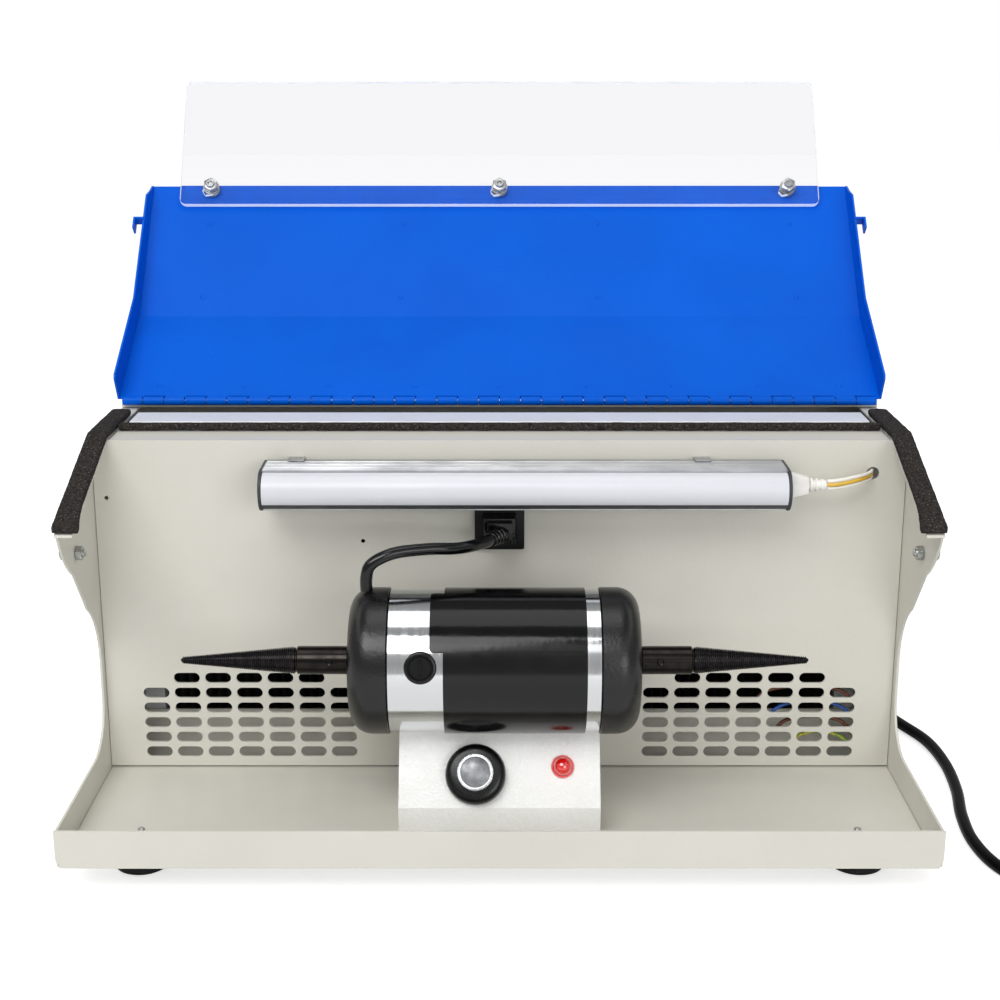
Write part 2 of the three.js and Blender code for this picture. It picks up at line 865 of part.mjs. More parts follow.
function shield() {
  const shape = rectangle(
    -shieldWidth / 2,
    -shieldOverlap,
    shieldWidth / 2,
    shieldHeight - shieldOverlap,
    shieldCornerRadius,
  );
  for (const x of shieldBoltSpots()) {
    const angle = THREE.MathUtils.degToRad(shieldSlotAngle);
    const shift = (shieldSlotLength - 2 * boltRadius) / 4;
    shape.holes.push(stadium(
      x - shift * Math.cos(angle),
      -shift * Math.sin(angle),
      shieldSlotLength,
      2 * (boltRadius + fitGap),
      angle,
    ));
  }
  return panel(shape, -shieldStandoff - shieldThickness, -shieldStandoff);
}

function shieldBolt() {
  const face = -shieldStandoff - shieldThickness - seam;
  const head = hoodSheet + seam;
  return join(
    rodY(washerRadius, seam - shieldStandoff, -seam),
    rodY(boltRadius, face - nutThickness - boltEnd, head + seam, tubeSides),
    rodY(nutAcrossFlats / Math.sqrt(3), head, head + boltHeadThickness, 6),
    rodY(nutAcrossFlats / Math.sqrt(3), face - nutThickness, face, 6),
  );
}

// Latch on the outside of each wing: a screw with its nut inside the wing, and a
// link with an eye that swings up over the hood's catch

const latchCollarEnd = hoodHalf + runningGap;
const latchLinkEnd = latchCollarEnd + seam + latchLinkThickness + seam;

function latchScrew() {
  const wingInner = halfWidth - sheet - seam;
  return join(
    hexNutX(2 * latchNutRadius, wingInner - latchNutThickness, wingInner),
    rodX(latchScrewRadius, wingInner - latchNutThickness - studTip / 2, latchLinkEnd + seam),
    rodX(latchCollarRadius, halfWidth + seam, latchCollarEnd),
    rodX(latchHeadRadius, latchLinkEnd, latchLinkEnd + latchHeadThickness),
  );
}

function latchLink() {
  const end = latchLinkLength + latchEyeLength / 2;
  const shape = new THREE.Shape(
    stadium(end / 2, 0, end + latchLinkWidth, latchLinkWidth).getPoints(),
  );
  shape.holes.push(circle(0, 0, latchScrewRadius + fitGap));
  shape.holes.push(stadium(latchLinkLength, 0, latchEyeWidth * 2, latchEyeWidth, 0));
  return profileAlongX(shape, latchCollarEnd + seam, latchCollarEnd + seam + latchLinkThickness);
}

// Filter cassette

function filterFrame() {
  const low = floorTop;
  const shape = rectangle(-filterHalfWidth, low, filterHalfWidth, filterTop);
  shape.holes.push(rectangle(
    -filterHalfWidth + filterRail,
    low + filterRail,
    filterHalfWidth - filterRail,
    filterTop - filterRail,
  ));
  return panel(shape, 0, filterDepth);
}

function filterMedia() {
  const half = filterHalfWidth - filterRail - seam;
  return block(
    [-half, half],
    [mediaInset, filterDepth - mediaInset],
    [floorTop + filterRail + seam, filterTop - filterRail - seam],
  );
}

// Exhaust fans: each frame has the duct bore, a motor plate and its struts at the back

function fanFrame() {
  const half = fanSize / 2;
  const shape = rectangle(-half, -half, half, half, fanStrutWidth);
  shape.holes.push(circle(0, 0, fanDuctRadius, roundSides));
  const body = extruded(shape, fanDepth, arcSteps + 1).rotateX(Math.PI / 2).translate(0, fanDepth, 0);
  const plate = rodY(fanHubRadius, fanDepth - fanHubPlate, fanDepth, roundSides);
  const struts = [];
  for (let i = 0; i < fanStruts; i += 1) {
    const strut = block(
      [-fanStrutWidth / 2, fanStrutWidth / 2],
      [fanDepth - fanHubPlate, fanDepth],
      [fanHubRadius / 2, fanSize / 2 + seam],
    );
    struts.push(strut.rotateY(Math.PI / fanStruts + (2 * Math.PI * i) / fanStruts));
  }
  return join(body, plate, ...struts);
}

// A twisted blade, lofted from its root in the hub to its tip
function fanBlade() {
  const stations = 3;
  const tip = Math.sqrt(impellerRadius ** 2 - (bladeChord / 2) ** 2);
  const points = [];
  for (let i = 0; i < stations; i += 1) {
    const share = i / (stations - 1);
    const radius = THREE.MathUtils.lerp(impellerHubRadius - bladeThickness, tip, share);
    const pitch = THREE.MathUtils.degToRad(THREE.MathUtils.lerp(bladeRootPitch, bladeTipPitch, share));
    const chord = THREE.MathUtils.lerp(bladeRootChord, bladeChord, share);
    for (const [along, across] of [[-0.5, -0.5], [0.5, -0.5], [0.5, 0.5], [-0.5, 0.5]]) {
      const a = along * chord;
      const b = across * bladeThickness;
      points.push(a * Math.cos(pitch) - b * Math.sin(pitch));
      points.push(a * Math.sin(pitch) + b * Math.cos(pitch));
      points.push(radius);
    }
  }
  const faces = [0, 3, 2, 0, 2, 1];
  for (let i = 0; i < stations - 1; i += 1) {
    for (let k = 0; k < 4; k += 1) {
      const [a, b] = [4 * i + k, 4 * i + ((k + 1) % 4)];
      faces.push(a, b, b + 4, a, b + 4, a + 4);
    }
  }
  const last = 4 * (stations - 1);
  faces.push(last, last + 1, last + 2, last, last + 2, last + 3);
  const blade = new THREE.BufferGeometry();
  blade.setAttribute("position", new THREE.Float32BufferAttribute(points, 3));
  blade.setIndex(faces);
  return blade;
}

function fanImpeller() {
  const hub = turnedY([
    [0, 0],
    [0, impellerHubRadius - bladeThickness],
    [bladeThickness, impellerHubRadius],
    [impellerDepth, impellerHubRadius],
    [impellerDepth, 0],
  ]);
  const blades = [];
  for (let i = 0; i < impellerBlades; i += 1) {
    blades.push(fanBlade().translate(0, impellerDepth / 2, 0).rotateY((2 * Math.PI * i) / impellerBlades));
  }
  return join(hub, ...blades);
}

// Lamp. Its frame has the wall as Y zero, the work side negative, and its middle as
// height zero.

const lampBack = -lampWallGap;
const lampFront = lampBack - lampBodyDepth;

function lampBody() {
  const half = lampSize / 2;
  const ridge = lampBack - lampBodyDepth / 3;
  const section = outlineOf([
    [lampBack, -half],
    [lampBack, half],
    [ridge, half],
    [ridge, half - lampRidge],
    [ridge - lampRidge, half - lampRidge],
    [ridge - lampRidge, half],
    [lampFront, half],
    [lampFront, -half],
  ]);
  const right = lampLeft + lampLength;
  const cap = diffuserSection(half, lampFront + lampRidge);
  const whole = outlineOf([[lampBack, -half], [lampBack, half], ...cap.reverse()]);
  return join(
    profileAlongX(section, lampLeft + seam, right - seam),
    profileAlongX(whole, lampLeft, lampLeft + lampCapLength),
    profileAlongX(whole, right - lampCapLength, right),
  );
}

// The front of the lamp as an arc from its lower to its upper edge
function diffuserSection(half, back) {
  const points = [];
  const steps = 2 * arcSteps;
  for (let i = 0; i <= steps; i += 1) {
    const turn = Math.PI * (i / steps - 0.5);
    points.push([back - (lampDiffuserDepth + lampRidge) * Math.cos(turn), half * Math.sin(turn)]);
  }
  return points;
}

function lampDiffuser() {
  const half = lampSize / 2 - seam;
  const points = diffuserSection(half, lampFront - seam).map(([y, z]) => [y + lampRidge, z]);
  const shape = outlineOf([
    [lampFront - seam, -half],
    ...points.slice(1, -1).map(([y, z]) => [Math.min(y, lampFront - seam), z]),
    [lampFront - seam, half],
  ].reverse());
  const left = lampLeft + lampCapLength + seam;
  return profileAlongX(shape, left, lampLeft + lampLength - lampCapLength - seam);
}

function lampClip() {
  const half = lampSize / 2 + seam;
  const outer = half + clipThickness;
  const back = -seam;
  const inner = back - clipThickness;
  const section = outlineOf([
    [back, -outer],
    [back, outer],
    [back - clipArm, outer],
    [back - clipArm, half],
    [inner, half],
    [inner, -half],
    [back - clipArm, -half],
    [back - clipArm, -outer],
  ]);
  return profileAlongX(section, -clipWidth / 2, clipWidth / 2);
}

function lampPlug() {
  const left = lampLeft + lampLength + seam;
  const middle = (lampBack + lampFront) / 2;
  const body = block(
    [left, left + lampPlugLength],
    [middle - lampPlugThickness / 2, middle + lampPlugThickness / 2],
    [-lampPlugWidth / 2, lampPlugWidth / 2],
  );
  const from = left + lampPlugLength - seam;
  const relief = turnedX([
    [from, 0],
    [from, lampReliefRadius + lampRidge],
    [from + lampReliefLength, lampReliefRadius],
    [from + lampReliefLength, 0],
  ], smallSides).translate(0, middle, 0);
  return join(body, relief);
}

// The wires from the lamp's plug to their hole in the wall
function lampLead() {
  const start = lampLeft + lampLength + lampPlugLength + lampReliefLength + seam;
  const middle = (lampBack + lampFront) / 2;
  const rise = lampHoleHeight - lampHeight;
  const route = new THREE.CatmullRomCurve3([
    new THREE.Vector3(start, middle, 0),
    new THREE.Vector3(start + lampLeadWidth, middle, 0),
    new THREE.Vector3(lampHoleX - lampLeadWidth, middle / 2, rise),
    new THREE.Vector3(lampHoleX, sheet / 2, rise),
    new THREE.Vector3(lampHoleX, sheet + lampLeadWidth, rise),
  ], false, "centripetal");
  const section = rectangle(
    -lampLeadThickness / 2,
    -lampLeadWidth / 2,
    lampLeadThickness / 2,
    lampLeadWidth / 2,
  );
  return new THREE.ExtrudeGeometry(section, { steps: 16, extrudePath: route, bevelEnabled: false });
}

// Outlet and the plug of the motor's lead, with the wall as Y zero

function motorOutlet() {
  const half = outletSize / 2;
  const body = outletBodySize / 2;
  const plate = panel(rectangle(-half, -half, half, half, lampRidge), -outletPlate - seam, -seam);
  const back = block([-body, body], [-seam - sheet, outletBodyDepth], [-body, body]);
  const pocket = block(
    [-plugWidth / 2 - seam, plugWidth / 2 + seam],
    [-outletPlate - overrun, plugNoseDepth - outletPlate + seam],
    [-plugHeight / 2 - seam, plugHeight / 2 + seam],
  );
  return cut(join(plate, back), pocket);
}

function motorPlug() {
  const front = plugNoseDepth - outletPlate - seam;
  const body = panel(
    rectangle(-plugWidth / 2, -plugHeight / 2, plugWidth / 2, plugHeight / 2, lampRidge),
    front - plugLength,
    front,
  );
  const boot = turnedY([
    [-plugBootLength, 0],
    [-plugBootLength, leadDiameter / 2 + lampRidge / 2],
    [0, plugBootRadius],
    [plugBootRadius / 2, plugBootRadius],
    [plugBootRadius / 2, 0],
  ], smallSides).rotateZ(-bootTurn).translate(0, front - plugLength, -plugBootRadius / 4);
  return join(body, boot);
}

const bootTurn = THREE.MathUtils.degToRad(30);

// Motor pieces about the shaft

function motorCan() {
  const shell = turnedX([
    [-canHalf, canRadius - canWall],
    [-canHalf, canRadius],
    [canHalf, canRadius],
    [canHalf, canRadius - canWall],
    [-canHalf, canRadius - canWall],
  ], 2 * roundSides);
  return cut(join(shell, ...[Math.PI / 2, -Math.PI / 2].map(fieldMagnet)), brushHole());
}

// A curved magnet on the inner wall of the can
function fieldMagnet(middle) {
  const spread = THREE.MathUtils.degToRad(magnetHalfAngle);
  const outer = canRadius - canWall / 2;
  const inner = canRadius - canWall - magnetThickness;
  const arc = new THREE.Shape();
  arc.absarc(0, 0, outer, middle - spread, middle + spread);
  arc.absarc(0, 0, inner, middle + spread, middle - spread, true);
  return profileAlongX(arc, -magnetLength / 2, magnetLength / 2);
}

function brushHole() {
  return placeOnCan(rodY(brushStemRadius + seam, -canRadius - overrun, -canRadius + brushStemLength + overrun));
}

// Turns a piece that points to the front so that it points to the brush's place
function placeOnCan(geometry) {
  return geometry.rotateX(-THREE.MathUtils.degToRad(brushCapAngle)).translate(brushCapX, 0, 0);
}

function brushCap() {
  const face = -canRadius - brushCapHeight;
  const cap = turnedY([
    [face, 0],
    [face, brushCapRadius - bandThickness],
    [face + bandThickness, brushCapRadius],
    [-canRadius - seam, brushCapRadius],
    [-canRadius - seam, brushStemRadius],
    [-canRadius + brushStemLength, brushStemRadius],
    [-canRadius + brushStemLength, 0],
  ]);
  const slot = block(
    [-screwSlotWidth / 2, screwSlotWidth / 2],
    [face - overrun, face + screwSlotDepth],
    [-brushCapRadius, brushCapRadius],
  );
  return placeOnCan(cut(cap, slot));
}

function motorEndCap() {
  const end = motorLength / 2;
  const steps = arcSteps;
  const rounding = [];
  for (let i = 0; i <= steps; i += 1) {
    const turn = (Math.PI / 2) * (i / steps);
    rounding.push([
      end - capWall / 4 - capRounding + capRounding * Math.sin(turn),
      motorRadius - capRounding + capRounding * Math.cos(turn),
    ]);
  }
  const seat = bearingRadius + bearingGap;
  const seatFrom = end - capWall - bearingWidth - 2 * bearingGap;
  const bossRadius = seat + capWall / 2;
  const inner = canRadius - canWall;
  return turnedX([
    [capInner, inner],
    [capInner, motorRadius],
    ...rounding,
    [end - capWall / 4, capHubRadius],
    [end, capHubRadius - capWall / 4],
    [end, shaftRadius + runningGap],
    [end - capWall, shaftRadius + runningGap],
    [end - capWall, seat],
    [seatFrom, seat],
    [seatFrom, bossRadius],
    [end - capWall, bossRadius],
    [end - capWall - capRounding / 3, inner - capRounding / 2],
    [end - capRounding, inner],
    [capInner, inner],
  ]);
}

function motorBearing() {
  const from = motorLength / 2 - capWall - bearingWidth - bearingGap;
  const bore = shaftRadius + bearingGap / 2;
  return turnedX([
    [from, bore],
    [from, bearingRadius],
    [from + bearingWidth, bearingRadius],
    [from + bearingWidth, bore],
    [from, bore],
  ]);
}

function motorBand() {
  const inner = canRadius + seam;
  return turnedX([
    [bandLeft, inner],
    [bandLeft, bandRadius],
    [bandLeft + bandWidth, bandRadius],
    [bandLeft + bandWidth, inner],
    [bandLeft, inner],
  ], 2 * roundSides);
}

function motorShaft() {
  const end = motorLength / 2 + sleeveBoreDepth - seam;
  const core = armatureLength / 2;
  const commutator = commutatorOffset;
  return turnedX([
    [-end, 0],
    [-end, shaftRadius],
    [-commutator - commutatorLength, shaftRadius],
    [-commutator - commutatorLength, commutatorRadius],
    [-commutator, commutatorRadius],
    [-commutator, shaftRadius],
    [-core, shaftRadius],
    [-core, armatureRadius],
    [core, armatureRadius],
    [core, shaftRadius],
    [end, shaftRadius],
    [end, 0],
  ]);
}

// A tapered spindle that a polishing mop screws itself on to, on its sleeve
function taperSpindle() {
  const from = motorLength / 2 + runningGap;
  const sleeveEnd = from + sleeveLength - runningGap;
  const taperEnd = motorLength / 2 + sleeveLength + taperLength;
  const bore = shaftRadius + seam;
  const edge = taperNeckLength / 4;
  return turnedX([
    [from, bore],
    [from, sleeveRadius],
    [sleeveEnd - edge, sleeveRadius],
    [sleeveEnd, sleeveRadius - edge],
    [sleeveEnd, taperTipRadius + edge + shaftRadius - bore / 2],
    [sleeveEnd + taperNeckLength, taperTipRadius + edge + shaftRadius - bore / 2],
    [sleeveEnd + taperNeckLength, taperRootRadius],
    [taperEnd - taperTipRadius, taperTipRadius],
    [taperEnd, 0],
    [from + sleeveBoreDepth, 0],
    [from + sleeveBoreDepth, bore],
    [from, bore],
  ], roundSides);
}

// Control box under the motor, open at the top, where the motor lies in its saddle

function controlBox() {
  const bend = [boxFront, boxBend];
  const shoulder = upPanel((boxHeight - boxBend) / Math.cos(panelLean));
  const side = outlineOf([[boxFront, floorTop], bend, shoulder, [boxRear, boxHeight], [boxRear, floorTop]]);
  const skin = outlineOf([
    [boxFront, floorTop],
    bend,
    shoulder,
    [shoulder[0] + sheet / Math.cos(panelLean), boxHeight],
    [boxFront + sheet, boxBend - sheet * Math.tan(panelLean / 2)],
    [boxFront + sheet, floorTop],
  ]);
  const cheeks = [-boxHalf, boxHalf - sheet].map((x) => profileAlongX(side, x, x + sheet));
  const feet = [boxFront, boxRear - boxFlange].map((y) => block(
    [-boxHalf, boxHalf],
    [y, y + boxFlange],
    [floorTop, floorTop + sheet],
  ));
  const shell = join(
    profileAlongX(skin, -boxHalf, boxHalf),
    block([-boxHalf, boxHalf], [boxRear - sheet, boxRear], [floorTop, boxHeight]),
    ...cheeks,
    ...feet,
  );
  const saddle = rodX(bandRadius + seam, -caseWidth, caseWidth, 2 * roundSides)
    .translate(0, motorDepth, motorHeight);
  return cut(
    shell,
    saddle,
    panelHole(knobX, knobRise, potBushRadius + seam),
    panelHole(pilotX, pilotRise, pilotStemRadius + seam),
  );
}

// Depth and height of a place on the leaning panel, from its distance up the panel
function upPanel(rise) {
  return [boxFront + rise * Math.sin(panelLean), boxBend + rise * Math.cos(panelLean)];
}

function panelHole(x, rise, radius) {
  return rodY(radius, -overrun, sheet + overrun).rotateX(-panelLean).translate(x, ...upPanel(rise));
}

// The speed control, with its bush through the panel. Y zero is the panel's face.
function speedControl() {
  const back = sheet + seam;
  const board = back + potDepth;
  return cut(
    join(
      turnedY([
        [-potBushLength, 0],
        [-potBushLength, potBushRadius],
        [back, potBushRadius],
        [back, potRadius],
        [board, potRadius],
        [board, 0],
      ], smallSides),
      block(
        [-potRadius * 2, boardWidth - potRadius * 2],
        [board - boardThickness, board],
        [-boardHeight / 2, boardHeight / 2],
      ),
    ),
    rodY(potStemRadius + seam, -potBushLength - overrun, back),
  );
}

function speedKnob() {
  const back = -seam;
  const nutRoom = potBushLength + seam;
  const face = back - knobSkirt;
  return turnedY([
    [face - knobCapLength + knobBevel, 0],
    [face - knobCapLength + knobBevel, knobCoreRadius],
    [face, knobCoreRadius],
    [face, knobRadius - knobBevel],
    [face + knobBevel, knobRadius],
    [back, knobRadius],
    [back, potBushRadius + 2 * seam],
    [back - nutRoom, potBushRadius + 2 * seam],
    [back - nutRoom, potStemRadius],
    [sheet / 2, potStemRadius],
    [sheet / 2, 0],
  ]);
}

// The fluted metal cap on the core of the knob
function knobCap() {
  const face = -seam - knobSkirt - seam;
  const outer = face - knobCapLength;
  const ring = new THREE.Shape();
  for (let i = 0; i < 2 * knobFlutes; i += 1) {
    const turn = (Math.PI * i) / knobFlutes;
    const radius = knobCapRadius - (i % 2) * knobFluteDepth;
    const spot = [radius * Math.cos(turn), radius * Math.sin(turn)];
    if (i) ring.lineTo(...spot);
    else ring.moveTo(...spot);
  }
  ring.closePath();
  const room = rodY(knobCoreRadius + seam, face - knobCapLength + knobBevel - seam, face + overrun, roundSides);
  return cut(panel(ring, outer, face), room);
}

function indicatorLamp() {
  const dome = [];
  for (let i = 0; i <= arcSteps; i += 1) {
    const turn = (Math.PI / 2) * (i / arcSteps);
    dome.push([
      -seam - pilotBezel - pilotDome * Math.cos(turn),
      pilotDomeRadius * Math.sin(turn),
    ]);
  }
  return turnedY([
    ...dome,
    [-seam - pilotBezel, pilotBezelRadius],
    [-seam, pilotBezelRadius],
    [-seam, pilotStemRadius],
    [pilotStem, pilotStemRadius],
    [pilotStem, 0],
  ], smallSides);
}

// Rocker switch on the rear cover, whose outer face is Y zero here

function switchHousing() {
  const wide = switchWidth / 2;
  const tall = switchTall / 2;
  const inset = switchBezel / 2 + seam;
  const well = [rockerWidth / 2 + seam, rockerTall / 2 + seam];
  return cut(
    join(
      block([-wide, wide], [seam, seam + switchBezel], [-tall, tall]),
      block([-wide + inset, wide - inset], [-switchBody, seam + switchBezel / 2], [-tall + inset, tall - inset]),
    ),
    block([-well[0], well[0]], [-switchBody / 2, overrun], [-well[1], well[1]]),
  );
}

// The rocker tips about a line along Z, and rests with its outer end pressed in
function switchRocker() {
  const wide = rockerWidth / 2;
  const shape = outlineOf([
    [-wide / 2, -switchBody / 2 + rockerRise],
    [wide / 2, -switchBody / 2 + rockerRise],
    [wide - rockerRise / 2, switchBezel / 2],
    [wide - rockerRise / 2, switchBezel + rockerRise / 2],
    [0, switchBezel],
    [-wide + rockerRise / 2, switchBezel + rockerRise / 2],
    [-wide + rockerRise / 2, switchBezel / 2],
  ]);
  return extruded(shape, rockerTall)
    .translate(0, 0, -rockerTall / 2)
    .rotateZ(THREE.MathUtils.degToRad(-rockerRestAngle));
}

// Mains gland with its tapered boot on the rear cover
function cordGland() {
  return turnedY([
    [-sheet - glandFlange, 0],
    [-sheet - glandFlange, glandStem],
    [seam, glandStem],
    [seam, glandFlangeRadius],
    [glandFlange, glandFlangeRadius],
    [glandFlange, bootRootRadius],
    [glandFlange + bootLength, bootTipRadius],
    [glandFlange + bootLength, 0],
  ], smallSides);
}

// Mains cord: from the gland behind the case round its corner and forward along the
// right side on the bench, then out to the coil. Heights are above the bench.
const cordLie = cordDiameter / 2 + seam / 4;
const cordStart = [glandX, caseDepth + glandFlange + bootLength + seam, footHeight + glandHeight];
const cordEnd = [coilX - 2 * cordDiameter, coilDepth - coilOuterRadius, cordLie];
const cordRoute = [
  cordStart,
  [glandX, cordStart[1] + cordDiameter, cordStart[2]],
  [193, 303, 38],
  [206, 316, 28],
  [222, 310, 14],
  [236, 288, 5.5],
  [248, 256, cordLie],
  [260, 223, cordLie],
  [270, 195, cordLie],
  [273, 160, cordLie],
  [270, 122, cordLie],
  [264, 88, cordLie],
  [262, 56, cordLie],
  [267, 28, cordLie],
  [282, 3, cordLie],
  [302, -9, cordLie],
  cordEnd,
  [cordEnd[0] + cordDiameter, cordEnd[1], cordLie],
];

// The coil: in along one layer, up in a half turn, out along the next, and a tail
// that rises to the plug
function coilPoints() {
  const points = [];
  const perTurn = 22;
  const low = cordLie;
  const high = cordLie + cordDiameter + runningGap;
  const climbFrom = coilInTurns - coilClimbTurns / 2;
  const inner = coilOuterRadius - coilInTurns * coilPitch;
  const spots = Math.round((coilInTurns + coilOutTurns) * perTurn);
  points.push([coilX - cordDiameter + seam, coilDepth - coilOuterRadius, low]);
  for (let i = 0; i <= spots; i += 1) {
    const turns = i / perTurn;
    const climb = THREE.MathUtils.clamp((turns - climbFrom) / coilClimbTurns, 0, 1);
    const radius = inner + Math.abs(turns - coilInTurns) * coilPitch;
    const angle = 2 * Math.PI * turns - Math.PI / 2;
    points.push([
      coilX + radius * Math.cos(angle),
      coilDepth + radius * Math.sin(angle),
      low + (high - low) * climb,
    ]);
  }
  const end = points[points.length - 1];
  const tailSteps = 6;
  for (let i = 1; i <= tailSteps; i += 1) {
    const share = i / tailSteps;
    const rise = THREE.MathUtils.smoothstep(share, 0, 1 - 1 / tailSteps);
    points.push([
      end[0],
      end[1] + coilTailLength * share,
      high + (mainsPlugRadius - high) * rise,
    ]);
  }
  return points;
}

// A tube with six sides whose rings stand square to the route, kept upright
function woundTube(points, radius, sides = 6) {
  const positions = [];
  points.forEach((point, i) => {
    const before = new THREE.Vector3(...points[Math.max(i - 1, 0)]);
    const after = new THREE.Vector3(...points[Math.min(i + 1, points.length - 1)]);
    const along = after.sub(before).normalize();
    const side = new THREE.Vector3(0, 0, 1).cross(along).normalize();
    const up = along.clone().cross(side);
    for (let k = 0; k < sides; k += 1) {
      const turn = (2 * Math.PI * k) / sides;
      const spot = new THREE.Vector3(...point)
        .addScaledVector(side, radius * Math.cos(turn))
        .addScaledVector(up, radius * Math.sin(turn));
      positions.push(...spot.toArray());
    }
  });
  const faces = [];
  for (let i = 0; i < points.length - 1; i += 1) {
    for (let k = 0; k < sides; k += 1) {
      const [a, b] = [sides * i + k, sides * i + ((k + 1) % sides)];
      faces.push(a, b, a + sides, b, b + sides, a + sides);
    }
  }
  const last = sides * (points.length - 1);
  for (let k = 1; k < sides - 1; k += 1) {
    faces.push(0, k + 1, k, last, last + k, last + k + 1);
  }
  const wound = new THREE.BufferGeometry();
  wound.setAttribute("position", new THREE.Float32BufferAttribute(positions, 3));
  wound.setIndex(faces);
  return wound;
}

// The least gap between turns of the coil, measured on its centre points
function leastCoilGap(points) {
  const apart = 12;
  let least = Infinity;
  for (let i = 0; i < points.length; i += 1) {
    for (let k = i + apart; k < points.length; k += 1) {
      least = Math.min(least, Math.hypot(...points[i].map((value, axis) => value - points[k][axis])));
    }
  }
  return least - cordDiameter;
}

function cordPlug() {
  const body = turnedY([
    [0, 0],
    [0, bootTipRadius],
    [mainsPlugGripLength, mainsPlugGripRadius],
    [mainsPlugGripLength + bootTipRadius, mainsPlugRadius - seam],
    [mainsPlugLength, mainsPlugRadius - seam],
    [mainsPlugLength, 0],
  ], roundSides);
  const pins = [-1, 1].map((side) => rodY(mainsPinRadius, mainsPlugLength - seam, mainsPlugLength + mainsPinLength)
    .translate((side * mainsPinSpacing) / 2, 0, 0));
  return join(body, ...pins);
}

// Assembly

const machine = new THREE.Group();
const cordPieces = new Set();

function place(group, name, geometry, material, [x, y, z] = [0, 0, 0]) {
  const mesh = new THREE.Mesh(geometry, material);
  mesh.name = name;
  mesh.position.set(x, y, z);
  group.add(mesh);
  return mesh;
}

function groupAt(parent, [x, y, z], tiltDegrees = 0) {
  const group = new THREE.Group();
  group.position.set(x, y, z);
  group.rotation.x = THREE.MathUtils.degToRad(tiltDegrees);
  parent.add(group);
  return group;
}

const caseGroup = groupAt(machine, [0, 0, footHeight]);
place(caseGroup, "base_pan", basePan(), cream());
place(caseGroup, "side_panel_right", sidePanel(), cream());
place(caseGroup, "side_panel_left", mirrored(sidePanel()), cream());
place(caseGroup, "perforated_wall", perforatedWall(), cream());
place(caseGroup, "rear_panel", rearPanel(), cream());
place(caseGroup, "foam_right", sideFoam(), darkFoam());
place(caseGroup, "foam_left", mirrored(sideFoam()), darkFoam());
place(caseGroup, "foam_front", frontFoam(), darkFoam());
footSpots().forEach(([x, y], i) => {
  const names = ["foot_front_left", "foot_front_right", "foot_rear_left", "foot_rear_right"];
  place(caseGroup, names[i], foot(), blackRubber(), [x, y, 0]);
});

const hingeSpot = [0, hingeAxisDepth, hingeAxisHeight];
place(caseGroup, "hinge_leaf_case", hingeLeaf(1), blue(), hingeSpot);
place(caseGroup, "hinge_pin", hingePin(), zinc(), hingeSpot);
const hood = groupAt(caseGroup, hingeSpot, hoodOpenAngle);
place(hood, "hinge_leaf_hood", hingeLeaf(0), blue());
place(hood, "hood_panel", hoodPanel(), blue());
place(hood, "shield", onShieldPlane(shield()), finish(0xe9eef0, 0.05, 0));
["shield_bolt_left", "shield_bolt_middle", "shield_bolt_right"].forEach((name, i) => {
  place(hood, name, onShieldPlane(shieldBolt().translate(shieldBoltSpots()[i], 0, 0)), zinc());
});

const latchSpot = [0, latchDepth, latchHeight];
place(caseGroup, "latch_screw_right", latchScrew(), zinc(), latchSpot);
place(caseGroup, "latch_screw_left", mirrored(latchScrew()), zinc(), latchSpot);
place(caseGroup, "latch_link_right", latchLink(), zinc(), latchSpot);
place(caseGroup, "latch_link_left", mirrored(latchLink()), zinc(), latchSpot);

const filter = groupAt(caseGroup, [0, filterFront, 0]);
place(filter, "filter_frame", filterFrame(), aluminium());
place(filter, "filter_media", filterMedia(), darkFoam());

for (const [side, name] of [[-1, "left"], [1, "right"]]) {
  const fan = groupAt(caseGroup, [side * fanX, rearInner - fanDepth, fanHeight]);
  place(fan, "fan_frame_" + name, fanFrame(), blackPlastic());
  place(fan, "fan_impeller_" + name, fanImpeller(), blackPlastic(), [
    0,
    fanDepth - fanHubPlate - impellerDepth - runningGap,
    0,
  ]);
}

const lamp = groupAt(caseGroup, [0, trayDepth, lampHeight]);
place(lamp, "lamp_body", lampBody(), aluminium());
place(lamp, "lamp_diffuser", lampDiffuser(), whitePlastic());
place(lamp, "lamp_clip_left", lampClip(), zinc(), [-clipX, 0, 0]);
place(lamp, "lamp_clip_right", lampClip(), zinc(), [clipX, 0, 0]);
place(lamp, "lamp_plug", lampPlug(), whitePlastic());
place(lamp, "lamp_lead", lampLead(), whitePlastic());

const outlet = groupAt(caseGroup, [0, trayDepth, outletHeight]);
place(outlet, "motor_outlet", motorOutlet(), blackPlastic());
place(outlet, "motor_plug", motorPlug(), blackRubber());

const motor = groupAt(caseGroup, [motorX, motorDepth, motorHeight]);
place(motor, "motor_can", motorCan(), chrome());
place(motor, "motor_band", motorBand(), blackPlastic());
place(motor, "motor_cap_right", motorEndCap(), blackPlastic());
place(motor, "motor_cap_left", mirrored(motorEndCap()), blackPlastic());
place(motor, "motor_bearing_right", motorBearing(), chrome());
place(motor, "motor_bearing_left", mirrored(motorBearing()), chrome());
place(motor, "brush_cap", brushCap(), blackPlastic());
place(motor, "motor_shaft", motorShaft(), copper());
place(motor, "taper_spindle_right", taperSpindle(), blackSteel());
place(motor, "taper_spindle_left", mirrored(taperSpindle()), blackSteel());

